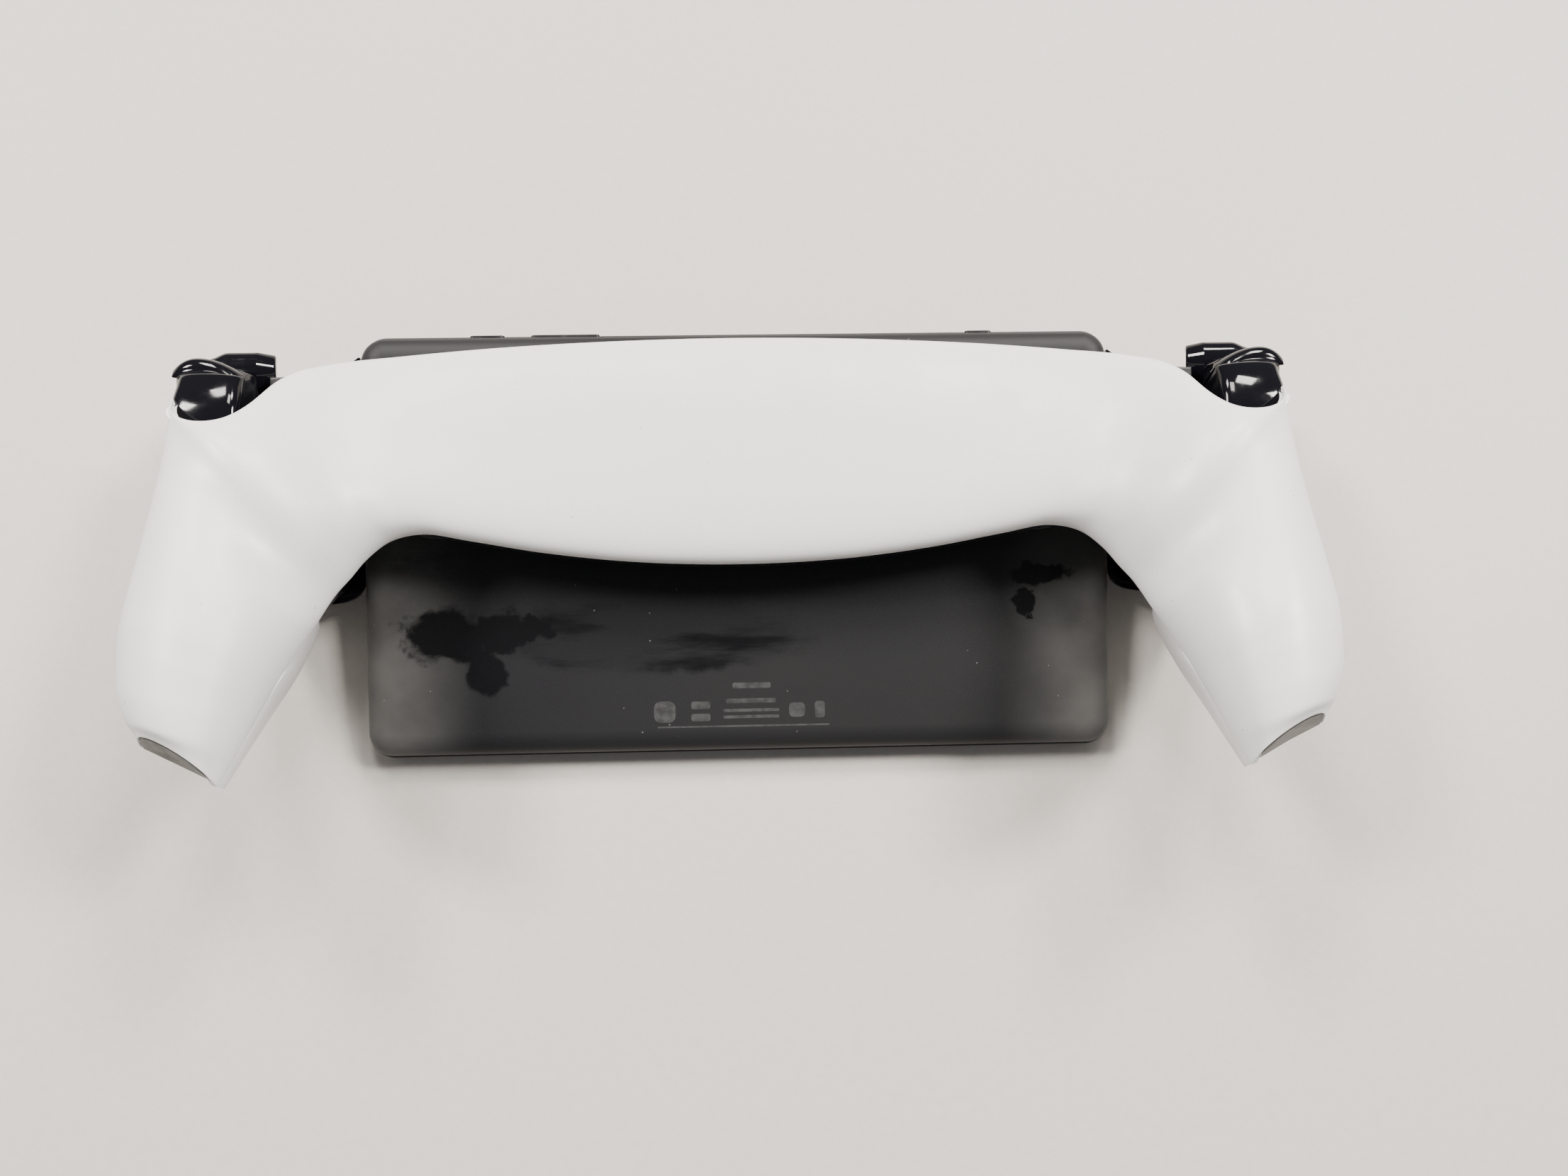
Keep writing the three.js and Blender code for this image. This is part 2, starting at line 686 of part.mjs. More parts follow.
// The black tray behind the screen. Its edges are pillowed.
function tabletRearCover() {
  const outer = plate(
    roundedRectangle(tabletWidth - 0.6, tabletHeight - 0.6, tabletCorner),
    frameDepth + gap, tabletDepth * 2 - frameDepth - gap, 2.6);
  const below = block([-120, -80, tabletDepth], [120, 80, 30]);
  const front = block([-120, -80, -5], [120, 80, frameDepth + gap + 0.01]);
  const hollow = block([-93.5, -50.2, 0], [93.5, 50.2, tabletDepth - 1.5]);
  return cut(outer, below, front, hollow, ...edgeButtons.map(edgeButtonHole));
}

// ---- Assembly --------------------------------------------------------------------------

const controller = new THREE.Group();
controller.rotation.x = restTilt;
controller.position.set(0, originShift, restLift);

function add(name, geometry, material) {
  const mesh = new THREE.Mesh(geometry, material);
  mesh.name = name;
  controller.add(mesh);
}

function addPair(name, geometry, material) {
  add(`${name}_right`, geometry, material);
  add(`${name}_left`, mirrored(geometry), material);
}

add('rear_shell', rearShell(), finish.whiteShell);
addPair('front_cover', frontCover(), finish.whiteShell);
addPair('grip_end_trim', gripEndTrim(), finish.greyTrim);
addPair('side_liner', sideLiner(), finish.glossBlack);
add('bridge_skirt', bridgeSkirt(), finish.matteBlack);

add('tablet_frame', tabletFrame(), finish.matteBlack);
add('cover_glass', coverGlass(), finish.glass);
add('tablet_rear_cover', tabletRearCover(), finish.matteBlack);
add('lcd_panel', block(
  [-screenWidth / 2, -screenHeight / 2, 1.3],
  [screenWidth / 2, screenHeight / 2, 3.5]), finish.innerBlack);
add('main_board', block([-62, 4, 5.4], [62, 44, 6.6]), finish.board);
add('battery_pack', block([-58, -44, 4.2], [58, 0, 8.0]), finish.cell);
add('usb_socket', cut(
  block([-4.6, -2.6, 12.9], [4.6, 4.6, 16.3]),
  block([-4.1, -4.0, 13.4], [4.1, 3.6, 15.8])), finish.steel);
add('audio_socket', cut(
  bar(3.0, -2.2, 9.5, [17, 15.6], 'y', 24),
  bar(1.8, -4.0, 8.5, [17, 15.6], 'y', 24)), finish.innerBlack);

add('deck_right', deck(true), finish.glossBlack);
add('deck_left', mirrored(deck(false)), finish.glossBlack);
addPair('shoulder_housing', shoulderHousing(), finish.innerBlack);

addPair('trigger', trigger(), finish.glossBlack);
addPair('trigger_pin', bar(pinRadius, pinInner + 0.4, 130.4, triggerPivot, 'x', 24), finish.steel);
addPair('bumper', bumper(), finish.glossBlack);
addPair('bumper_pin', bar(pinRadius, 116.9, 132.6, bumperPivot, 'x', 24), finish.steel);

addPair('stick_cap', stickCap(), finish.rubber);
addPair('stick_gimbal', stickGimbal(), finish.innerBlack);
addPair('stick_base', stickBase(), finish.innerBlack);
addPair('stick_housing', stickHousing(), finish.innerBlack);

add('cross_pad', crossPad(), finish.glossBlack);
add('cross_pad_rocker', crossPadRocker(), finish.innerBlack);
for (const button of faceButtons) {
  add(button.name, mirrored(roundButton(faceButtonRadius, button.at, 1.6)), finish.glossBlack);
}
add('options_button', mirrored(roundButton(holes.menu.radius, holes.menu.at, 0.8)), finish.innerBlack);
add('share_button', roundButton(holes.menu.radius, holes.menu.at, 0.8), finish.innerBlack);
add('mute_button', mirrored(roundButton(holes.lower.radius, holes.lower.at, 0.8)), finish.innerBlack);
add('home_button', roundButton(holes.lower.radius, holes.lower.at, 0.8), finish.innerBlack);
for (const button of edgeButtons) {
  add(button.name, edgeButton(button), finish.innerBlack);
}
addPair('button_membrane', membrane(), finish.membrane);

addPair('rumble_motor', bar(6.2, 33, 47, [124, -22], 'z', 28), finish.steel);
addPair('speaker', block([104, 12, 17.5], [122, 26, 22]), finish.innerBlack);
addPair('antenna_board', block([74, 20, 13.4], [92, 34, 14.4]), finish.board);

export default controller;
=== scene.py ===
import math

import bpy
from mathutils import Euler, Matrix, Vector


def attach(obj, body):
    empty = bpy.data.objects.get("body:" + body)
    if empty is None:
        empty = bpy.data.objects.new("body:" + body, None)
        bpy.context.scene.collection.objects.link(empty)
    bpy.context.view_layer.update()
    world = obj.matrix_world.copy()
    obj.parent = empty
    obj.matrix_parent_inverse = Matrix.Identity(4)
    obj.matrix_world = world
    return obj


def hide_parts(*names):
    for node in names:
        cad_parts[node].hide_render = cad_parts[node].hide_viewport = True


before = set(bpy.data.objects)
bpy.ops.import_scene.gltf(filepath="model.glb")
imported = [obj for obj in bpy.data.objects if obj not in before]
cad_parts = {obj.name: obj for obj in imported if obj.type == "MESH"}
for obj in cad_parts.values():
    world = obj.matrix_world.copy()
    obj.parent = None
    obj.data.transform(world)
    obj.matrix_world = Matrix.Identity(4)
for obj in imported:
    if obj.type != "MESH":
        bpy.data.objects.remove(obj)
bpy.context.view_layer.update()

# ---------------------------------------------------------------------------------------
# Room: the controller lies face down on a pale table, its upper edge raised by the
# thumbsticks. Sizes are drawn in the controller's own frame, in millimetres, with x along
# it, y up the screen and z out of its back, and tip puts them into the room.
# ---------------------------------------------------------------------------------------

MM = 0.001
rest_tilt = math.radians(10)
tablet_width = 197.6
tablet_height = 111.0
tablet_corner = 6.8
frame_depth = 3.8
frame_edge = 0.25
lift = math.sin(rest_tilt) * (tablet_height / 2 - frame_edge)
shift = 3.743
tip = (
    Matrix.Translation((0, shift * MM, lift * MM))
    @ Matrix.Rotation(rest_tilt, 4, "X")
    @ Matrix.Scale(MM, 4)
)

camera_data = bpy.data.cameras.new("camera")
camera_data.lens = 26.04
camera_data.sensor_width = 36
camera_data.clip_start = 0.01
camera = bpy.data.objects.new("camera", camera_data)
bpy.context.scene.collection.objects.link(camera)
camera_place = Vector((3.081, -7.044, 306.79))
camera_turn = Euler((math.radians(-0.942), math.radians(-1.643), math.radians(-0.946)))
seen_from = tip @ Matrix.Translation(camera_place) @ camera_turn.to_matrix().to_4x4()
camera.location = seen_from.translation
camera.rotation_mode = "QUATERNION"
camera.rotation_quaternion = seen_from.to_quaternion()
bpy.context.scene.camera = camera


def add_node(tree, kind, inputs=None, **settings):
    """A node with its settings, and with each input either linked or given a value."""
    node = tree.nodes.new("ShaderNode" + kind)
    for key, value in settings.items():
        setattr(node, key, value)
    for key, value in (inputs or {}).items():
        if isinstance(value, bpy.types.NodeSocket):
            tree.links.new(value, node.inputs[key])
        else:
            node.inputs[key].default_value = value
    return node


def new_material(name, colour, roughness):
    material = bpy.data.materials.new(name)
    material.use_nodes = True
    tree = material.node_tree
    shader = tree.nodes["Principled BSDF"]
    shader.inputs["Base Color"].default_value = (*colour, 1)
    shader.inputs["Roughness"].default_value = roughness
    place = add_node(tree, "TexCoord").outputs["Object"]
    return material, tree, shader, place


def noise(tree, place, size, detail=2.0, roughness=0.5):
    """Soft noise from 0 to 1 whose patches are about size millimetres across."""
    texture = add_node(
        tree, "TexNoise",
        {"Vector": place, "Scale": 1000 / size, "Detail": detail, "Roughness": roughness})
    return texture.outputs["Fac"]


def ramp(tree, value, low, high, to_low=0.0, to_high=1.0):
    """The value with low to high stretched smoothly to to_low to to_high."""
    stretch = add_node(
        tree, "MapRange",
        {"Value": value, "From Min": low, "From Max": high, "To Min": to_low, "To Max": to_high},
        interpolation_type="SMOOTHSTEP")
    return stretch.outputs["Result"]


def maths(tree, operation, *values):
    node = add_node(tree, "Math", dict(enumerate(values)), operation=operation)
    return node.outputs[0]


def blend_colours(tree, mask, first, second):
    mix = add_node(tree, "Mix", {0: mask}, data_type="RGBA")
    for socket, colour in ((mix.inputs[6], first), (mix.inputs[7], second)):
        if isinstance(colour, bpy.types.NodeSocket):
            tree.links.new(colour, socket)
        else:
            socket.default_value = (*colour, 1)
    return mix.outputs[2]


bpy.ops.object.select_all(action="DESELECT")
bpy.ops.mesh.primitive_plane_add(size=6)
table = bpy.context.object
table.name = "table_top"
laminate, tree, shader, place = new_material("table_laminate", (0.62, 0.585, 0.55), 0.5)
speckle = noise(tree, place, 2.5, 4.0)
tint = blend_colours(tree, ramp(tree, speckle, 0.3, 0.7), (0.61, 0.575, 0.54), (0.63, 0.595, 0.56))
tree.links.new(tint, shader.inputs["Base Color"])
table.data.materials.append(laminate)


panel_size = 0.5
panel_colour = (1.0, 0.955, 0.9)
ceiling = 1.9


def soft_light(name, x, y, power):
    """A square panel on the ceiling that faces the controller."""
    place = (x, y, ceiling)
    lamp = bpy.data.lights.new(name, "AREA")
    lamp.shape = "RECTANGLE"
    lamp.size = panel_size
    lamp.size_y = panel_size
    lamp.energy = power
    lamp.color = panel_colour
    holder = bpy.data.objects.new(name, lamp)
    bpy.context.scene.collection.objects.link(holder)
    holder.location = place
    holder.rotation_mode = "QUATERNION"
    holder.rotation_quaternion = (-Vector(place)).to_track_quat("-Z", "Y")


soft_light("panel_left", -1.6, 0.9, 66)
soft_light("panel_middle", 0.2, 1.3, 30)
soft_light("panel_right", 1.7, 0.8, 78)
soft_light("panel_far_left", -0.8, 1.8, 44)
soft_light("panel_far_right", 1.0, 1.8, 48)
world = bpy.data.worlds.new("room_light")
bpy.context.scene.world = world
world.use_nodes = True
world.node_tree.nodes["Background"].inputs["Color"].default_value = (0.97, 0.98, 1.0, 1)
world.node_tree.nodes["Background"].inputs["Strength"].default_value = 0.18

# ---------------------------------------------------------------------------------------
# Rear shell: one white injection moulding with a fine satin texture, the bridge over the
# tablet and the backs of both grips. An arch is swept along it between its outer and its
# inner edge, and its edge turns up in a narrow lip beside each trigger.
# ---------------------------------------------------------------------------------------

shell_wall = 1.5
corner_station = 10
corner_reach = 3.2
corner_window = 1.7
corner_fade = 8
lip_start = 5.0
lip_end = 10.2
lip_width = 0.05
lip_rise = 0.9
shell_stations = [
    ((0, 52.4, 13.0), (0, -5.7, 23.0), (7.6, 3.2, 0.0)),
    ((30, 51.9, 13.0), (25, -4.8, 23.0), (7.7, 3.2, 0.0)),
    ((60, 50.4, 13.5), (48, -2.2, 23.5), (8.2, 3.1, 0.0)),
    ((84, 48.2, 15.0), (66, 1.0, 24.8), (9.2, 2.85, 0.0)),
    ((100, 45.8, 18.5), (77, 2.8, 26.5), (10.4, 2.6, 0.02)),
    ((109.6, 41.6, 26.0), (84, 1.2, 29.0), (11.6, 2.2, 0.05)),
    ((113.2, 33.4, 37.0), (88.8, -3.0, 32.0), (11.6, 1.95, 0.08)),
    ((117.4, 29.5, 42.2), (92.0, -7.6, 34.6), (11.8, 1.8, 0.12)),
    ((123.0, 28.8, 43.0), (94.6, -11.2, 36.8), (12.2, 1.75, 0.16)),
    ((129.4, 30.8, 39.4), (96.3, -14.4, 38.6), (13.0, 1.8, 0.18)),
    ((133.7, 36.4, 31.6), (97.6, -17.2, 40.2), (15.0, 1.85, 0.2)),
    ((134.4, 16, 36.0), (99, -20, 42.0), (18.0, 2.05, 0.26)),
    ((136.9, 1, 37.4), (101, -24.4, 45.0), (19.8, 2.1, 0.3)),
    ((138.7, -13, 40.0), (103, -29, 48.2), (20.35, 2.1, 0.3)),
    ((138.8, -24, 43.6), (105, -34, 51.4), (19.2, 2.1, 0.28)),
    ((137.0, -33, 48.0), (107, -39.6, 54.8), (16.8, 2.1, 0.24)),
    ((133.4, -39.4, 53.0), (109.2, -45.8, 58.8), (13.0, 2.1, 0.32)),
    ((129.4, -43.3, 58.4), (111.6, -51.5, 62.5), (8.6, 2.1, 0.66)),
]
last_station = len(shell_stations) - 1


def along_curve(points, place):
    """The point at place, from 0 to 1, on a smooth curve through evenly numbered points."""
    span = place * (len(points) - 1)
    first = min(int(span), len(points) - 2)
    within = span - first
    b = Vector(points[first])
    c = Vector(points[first + 1])
    a = Vector(points[first - 1]) if first > 0 else 2 * b - c
    d = Vector(points[first + 2]) if first + 2 < len(points) else 2 * c - b
    before = max((a - b).length, 1e-8) ** 0.5
    middle = max((b - c).length, 1e-8) ** 0.5
    after = max((c - d).length, 1e-8) ** 0.5
    leave = ((b - a) / before - (c - a) / (before + middle) + (c - b) / middle) * middle
    arrive = ((c - b) / middle - (d - b) / (middle + after) + (d - c) / after) * middle
    square = within * within
    cube = square * within
    return (
        (2 * cube - 3 * square + 1) * b
        + (cube - 2 * square + within) * leave
        + (3 * square - 2 * cube) * c
        + (cube - square) * arrive
    )


def both_sides(points, mirrored=True):
    turn = -1 if mirrored else 1
    return [(turn * p[0], p[1], p[2]) for p in reversed(points[1:])] + list(points)


outer_points = [s[0] for s in shell_stations]
outer_bridge = both_sides(outer_points[:corner_station + 1])
outer_grip = outer_points[corner_station:]
inner_line = both_sides([s[1] for s in shell_stations])
arch_line = both_sides([s[2] for s in shell_stations], mirrored=False)


def shell_outer(station):
    if abs(station) <= corner_station:
        return along_curve(outer_bridge, (station / corner_station + 1) / 2)
    past = (abs(station) - corner_station) / (last_station - corner_station)
    point = along_curve(outer_grip, past)
    point.x = math.copysign(point.x, station)
    return point


def shell_inner(station):
    return along_curve(inner_line, (station / last_station + 1) / 2)


def arch_height(across, squareness=2.0):
    return max(0.0, 1 - abs(2 * across - 1) ** squareness) ** (1 / squareness)


def faired_outer(station):
    """The outer line with the corner beside the trigger taken out of it."""
    from_corner = (abs(station) - corner_station) / corner_reach
    window = corner_window * max(0, 1 - from_corner ** 2)
    if window == 0:
        return shell_outer(station)
    taken = [shell_outer(station + window * step / 3) for step in range(-3, 4)]
    return sum(taken, Vector()) / len(taken)


def lip_height(station, across):
    """How far the rolled edge beside a trigger stands up."""
    beside = min(max(abs(station) - lip_start, 0), max(2 * (lip_end - abs(station)), 0), 1)
    return lip_rise * beside * max(0, 1 - across / lip_width) ** 2


def shell_point(station, across):
    rise, squareness, lean = along_curve(arch_line, (station / last_station + 1) / 2)
    height = rise * arch_height(across, squareness)
    faired = faired_outer(station)
    point = faired.lerp(shell_inner(station), across)
    point += (shell_outer(station) - faired) * (1 - across) ** corner_fade
    point.z += lip_height(station, across)
    return point + Vector((0, height * lean, height * math.sqrt(1 - lean * lean)))


def swept_sheet(name, place, rows, columns, facing):
    """A grid primitive laid out by place(row, across), with row and across from 0 to 1."""
    bpy.ops.object.select_all(action="DESELECT")
    bpy.ops.mesh.primitive_grid_add(x_subdivisions=rows, y_subdivisions=columns, size=2)
    sheet = bpy.context.object
    sheet.name = name
    for vertex in sheet.data.vertices:
        row = (vertex.co.x + 1) / 2
        across = (1 - math.cos(math.pi * (vertex.co.y + 1) / 2)) / 2
        vertex.co = place(row, across)
    towards = sum(face.normal.dot(facing) * face.area for face in sheet.data.polygons)
    if towards < 0:
        sheet.data.flip_normals()
    return sheet


def apply_modifier(piece, kind, **settings):
    modifier = piece.modifiers.new(kind.lower(), kind)
    for key, value in settings.items():
        setattr(modifier, key, value)
    bpy.ops.object.select_all(action="DESELECT")
    piece.select_set(True)
    bpy.context.view_layer.objects.active = piece
    bpy.ops.object.modifier_apply(modifier=modifier.name)


def round_edges(piece, width, degrees=40, segments=3):
    apply_modifier(
        piece, "BEVEL", width=width, segments=segments,
        limit_method="ANGLE", angle_limit=math.radians(degrees))


def seat(piece, body, material, stands_for=(), smooth=35):
    """Tips a finished piece into the room, and says what it rides on and stands for."""
    bpy.ops.object.select_all(action="DESELECT")
    piece.select_set(True)
    bpy.context.view_layer.objects.active = piece
    bpy.ops.object.shade_smooth_by_angle(angle=math.radians(smooth))
    piece.data.transform(tip)
    piece.data.update()
    piece.data.materials.clear()
    piece.data.materials.append(material)
    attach(piece, body)
    if stands_for:
        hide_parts(*stands_for)


def node_group(name, inputs, outputs):
    """An empty node group with its named sockets, and its input and output nodes."""
    group = bpy.data.node_groups.new(name, "ShaderNodeTree")
    for label, kind, value in inputs:
        socket = group.interface.new_socket(label, in_out="INPUT", socket_type="NodeSocket" + kind)
        if value is not None:
            socket.default_value = value
    for label, kind in outputs:
        group.interface.new_socket(label, in_out="OUTPUT", socket_type="NodeSocket" + kind)
    return group, group.nodes.new("NodeGroupInput"), group.nodes.new("NodeGroupOutput")


def use_group(tree, group, inputs):
    node = tree.nodes.new("ShaderNodeGroup")
    node.node_tree = group
    for key, value in inputs.items():
        if isinstance(value, bpy.types.NodeSocket):
            tree.links.new(value, node.inputs[key])
        else:
            node.inputs[key].default_value = value
    return node


# The fine pitted texture that the mould gives to plastic.
mould_grain, source, result = node_group(
    "mould_grain", [("Place", "Vector", None), ("Depth", "Float", 0.1)], [("Normal", "Vector")])
pits = noise(mould_grain, source.outputs["Place"], 0.22, 2.0)
waves = noise(mould_grain, source.outputs["Place"], 9.0, 1.0)
height = maths(mould_grain, "MULTIPLY_ADD", waves, 3.0, pits)
grain_bump = add_node(
    mould_grain, "Bump",
    {"Strength": source.outputs["Depth"], "Distance": 0.00006, "Height": height})
mould_grain.links.new(grain_bump.outputs["Normal"], result.inputs["Normal"])

# The thin film that hands leave: soft patches with streaks in them.
hand_film, source, result = node_group(
    "hand_film", [("Place", "Vector", None), ("Size", "Float", 30.0)], [("Mask", "Float")])
per_size = maths(hand_film, "DIVIDE", 1000.0, source.outputs["Size"])
patches = add_node(
    hand_film, "TexNoise",
    {"Vector": source.outputs["Place"], "Scale": per_size, "Detail": 5.0, "Roughness": 0.62})
film = ramp(hand_film, patches.outputs["Fac"], 0.38, 0.68)
hand_film.links.new(film, result.inputs["Mask"])

# Specks of dust, one in some of the cells of a fine mesh.
dust_specks, source, result = node_group(
    "dust_specks", [("Place", "Vector", None), ("Share", "Float", 0.1)], [("Mask", "Float")])
cells = add_node(dust_specks, "TexVoronoi", {"Vector": source.outputs["Place"], "Scale": 420.0})
near = ramp(dust_specks, cells.outputs["Distance"], 0.05, 0.12, 1.0, 0.0)
chosen = maths(
    dust_specks, "LESS_THAN",
    add_node(dust_specks, "SeparateColor", {"Color": cells.outputs["Color"]}).outputs[0],
    source.outputs["Share"])
specks = maths(dust_specks, "MULTIPLY", near, chosen)
dust_specks.links.new(specks, result.inputs["Mask"])

# A ragged patch, such as a smear or a scuff, at a place on the surface.
ragged_patch, source, result = node_group(
    "ragged_patch",
    [("Place", "Vector", None), ("Centre", "Vector", None), ("Reach", "Vector", None),
     ("Raggedness", "Float", 0.5), ("Grain", "Float", 8.0)],
    [("Mask", "Float")])
offset = add_node(
    ragged_patch, "VectorMath",
    {0: source.outputs["Place"], 1: source.outputs["Centre"]}, operation="SUBTRACT")
scaled = add_node(
    ragged_patch, "VectorMath",
    {0: offset.outputs[0], 1: source.outputs["Reach"]}, operation="DIVIDE")
distance = add_node(ragged_patch, "VectorMath", {0: scaled.outputs[0]}, operation="LENGTH")
per_grain = maths(ragged_patch, "DIVIDE", 1000.0, source.outputs["Grain"])
rags = add_node(
    ragged_patch, "TexNoise",
    {"Vector": source.outputs["Place"], "Scale": per_grain, "Detail": 4.0, "Roughness": 0.6})
centred_rags = maths(ragged_patch, "SUBTRACT", rags.outputs["Fac"], 0.5)
pushed = maths(
    ragged_patch, "MULTIPLY_ADD",
    centred_rags, source.outputs["Raggedness"], distance.outputs["Value"])
inside = ramp(ragged_patch, pushed, 0.7, 1.0, 1.0, 0.0)
ragged_patch.links.new(inside, result.inputs["Mask"])


def patch(tree, place, centre, reach, raggedness=2.0, grain=9.0):
    """The mask of a ragged patch about centre, in the controller's frame in millimetres."""
    node = use_group(tree, ragged_patch, {
        "Place": place, "Centre": tip @ Vector(centre), "Reach": Vector(reach) * MM,
        "Raggedness": raggedness, "Grain": grain})
    return node.outputs["Mask"]


white_plastic, tree, shader, place = new_material("white_satin_plastic", (0.83, 0.83, 0.825), 0.4)
film = use_group(tree, hand_film, {"Place": place, "Size": 38.0}).outputs["Mask"]
specks = use_group(tree, dust_specks, {"Place": place, "Share": 0.02}).outputs["Mask"]
clean = blend_colours(tree, film, (0.84, 0.84, 0.84), (0.80, 0.80, 0.79))
dusty = blend_colours(tree, specks, clean, (0.45, 0.44, 0.42))
ink_mark = patch(tree, place, (30.2, 11.5, 30.5), (0.35, 1.6, 3.0), 0.6, 3.0)
grip_scuffs = patch(tree, place, (-128.5, -35.0, 56.0), (2.6, 9.0, 6.0), 4.5, 2.4)
marked = blend_colours(tree, ink_mark, dusty, (0.36, 0.38, 0.55))
faint_scuffs = maths(tree, "MULTIPLY", grip_scuffs, 0.35)
scuffed = blend_colours(tree, faint_scuffs, marked, (0.42, 0.40, 0.38))
tree.links.new(scuffed, shader.inputs["Base Color"])
tree.links.new(ramp(tree, film, 0.0, 1.0, 0.33, 0.45), shader.inputs["Roughness"])
grain = use_group(tree, mould_grain, {"Place": place, "Depth": 0.22}).outputs["Normal"]
tree.links.new(grain, shader.inputs["Normal"])

# The surface is faired around the corner beside each trigger, but its edge is not moved.
blend_centre = (127, 16)
blend_reach = 34
blend_margin = 4.0
blend_passes = 120
shell_rows = 260
shell_columns = 44
notch_edge = [
    shell_outer(side * station / 8) for side in (-1, 1) for station in range(40, 105)]
shell = swept_sheet(
    "rear_shell_moulding",
    lambda row, across: shell_point((2 * row - 1) * last_station, across),
    shell_rows, shell_columns, Vector((0, 0, 1)))
blended = shell.vertex_groups.new(name="beside_triggers")
for vertex in shell.data.vertices:
    x, y, _ = vertex.co
    from_corner = (Vector((abs(x), y)) - Vector(blend_centre)).length / blend_reach
    from_edge = min((vertex.co - edge).length for edge in notch_edge) / blend_margin
    weight = min(max(0, 1 - from_corner ** 2), 1, from_edge ** 2)
    if weight > 0.01:
        blended.add([vertex.index], weight, "REPLACE")
apply_modifier(
    shell, "SMOOTH", factor=0.7, iterations=blend_passes, vertex_group="beside_triggers")
apply_modifier(shell, "SOLIDIFY", thickness=shell_wall, offset=-1)
round_edges(shell, 0.6, 60)
seat(shell, "frame", white_plastic, ["rear_shell"], 60)

# ---------------------------------------------------------------------------------------
# Front covers: the white halves of the grips that face the player, moulded like the rear
# shell and clipped to it, with a parting line half a millimetre wide along the outer side.
# ---------------------------------------------------------------------------------------

seam_drop = 0.45
front_wall = 1.1
front_stations = [
    (10.05, (132.2, 36, 5.2), (3.0, 0, -2)),
    (11.0, (131.4, 20, 5.2), (3.7, 0, -4)),
    (11.7, (131.0, 6, 5.2), (4.85, -1, -6)),
    (12.2, (127.6, -5, 5.4), (5.45, -3, -9)),
    (12.6, (119.5, -14.4, 6.4), (5.2, -6, -12)),
    (13.0, (111.5, -16.2, 8.5), (4.0, -8, -15)),
    (13.5, (105.6, -17.6, 20), (2.6, -9, -18)),
    (14.0, (102.6, -20.8, 34), (1.2, -9, -20)),
    (14.5, 12.7, (0.4, -8, -20)),
    (15.0, 14.2, (0, -7, -17)),
    (16.0, 15.7, (0, -5, -13)),
    (17.0, 17.0, (-1, -4, -9)),
]


def under_seam(point):
    return point - Vector((0, 0, seam_drop))


front_outer = [under_seam(shell_outer(s[0])) for s in front_stations]
front_inner = [
    under_seam(shell_inner(s[1])) if isinstance(s[1], float) else Vector(s[1])
    for s in front_stations]
front_bulge = [s[2] for s in front_stations]


def front_point(row, across):
    chord = along_curve(front_outer, row).lerp(along_curve(front_inner, row), across)
    return chord + along_curve(front_bulge, row) * arch_height(across)


def mirror_copy(piece, name):
    """The same piece for the other side, with a mesh of its own."""
    copy = piece.copy()
    copy.data = piece.data.copy()
    copy.name = name
    bpy.context.scene.collection.objects.link(copy)
    copy.data.transform(Matrix.Scale(-1, 4, (1, 0, 0)))
    copy.data.flip_normals()
    return copy


def seat_pair(piece, name, body, material, node, smooth=35):
    """Seats a right-hand piece and its left-hand copy; {} in the names stands for the side."""
    other = mirror_copy(piece, name.format("left"))
    piece.name = name.format("right")
    for side, each in (("right", piece), ("left", other)):
        stands_for = [node.format(side)] if node else []
        seat(each, body.format(side), material, stands_for, smooth)


front = swept_sheet("front_cover_moulding", front_point, 96, 26, Vector((0.4, -0.2, -1)))
apply_modifier(front, "SOLIDIFY", thickness=front_wall, offset=-1)
round_edges(front, 0.4, 60)
seat_pair(front, "front_cover_moulding_{}", "frame", white_plastic,
          "front_cover_{}", 60)

# ---------------------------------------------------------------------------------------
# Grip end trims: grey moulded inserts, lens shaped, pressed into the cut ends of the grips
# and standing a little proud of them.
# ---------------------------------------------------------------------------------------

grey_plastic, tree, shader, place = new_material("grey_trim_plastic", (0.025, 0.025, 0.023), 0.5)
film = use_group(tree, hand_film, {"Place": place, "Size": 9.0}).outputs["Mask"]
tree.links.new(
    blend_colours(tree, film, (0.020, 0.020, 0.018), (0.030, 0.030, 0.028)),
    shader.inputs["Base Color"])
tree.links.new(ramp(tree, film, 0.0, 1.0, 0.42, 0.56), shader.inputs["Roughness"])
grain = use_group(tree, mould_grain, {"Place": place, "Depth": 0.3}).outputs["Normal"]
tree.links.new(grain, shader.inputs["Normal"])


def drawn_bar(name, outline, layers, place):
    """A closed bar: an outline filled and extruded in layers, each point laid by place()."""
    bpy.ops.object.select_all(action="DESELECT")
    bpy.ops.mesh.primitive_circle_add(vertices=len(outline), fill_type="NGON")
    bar = bpy.context.object
    bar.name = name
    for vertex, (a, b) in zip(bar.data.vertices, outline):
        vertex.co = (a, b, 0)
    bpy.ops.object.mode_set(mode="EDIT")
    bpy.ops.mesh.select_all(action="SELECT")
    for _ in range(layers):
        bpy.ops.mesh.extrude_region_move(TRANSFORM_OT_translate={"value": (0, 0, 1)})
    bpy.ops.object.mode_set(mode="OBJECT")
    for vertex in bar.data.vertices:
        a, b, layer = vertex.co
        vertex.co = place(a, b, layer / layers)
    bpy.ops.object.mode_set(mode="EDIT")
    bpy.ops.mesh.select_all(action="SELECT")
    bpy.ops.mesh.normals_make_consistent(inside=False)
    bpy.ops.object.mode_set(mode="OBJECT")
    return bar


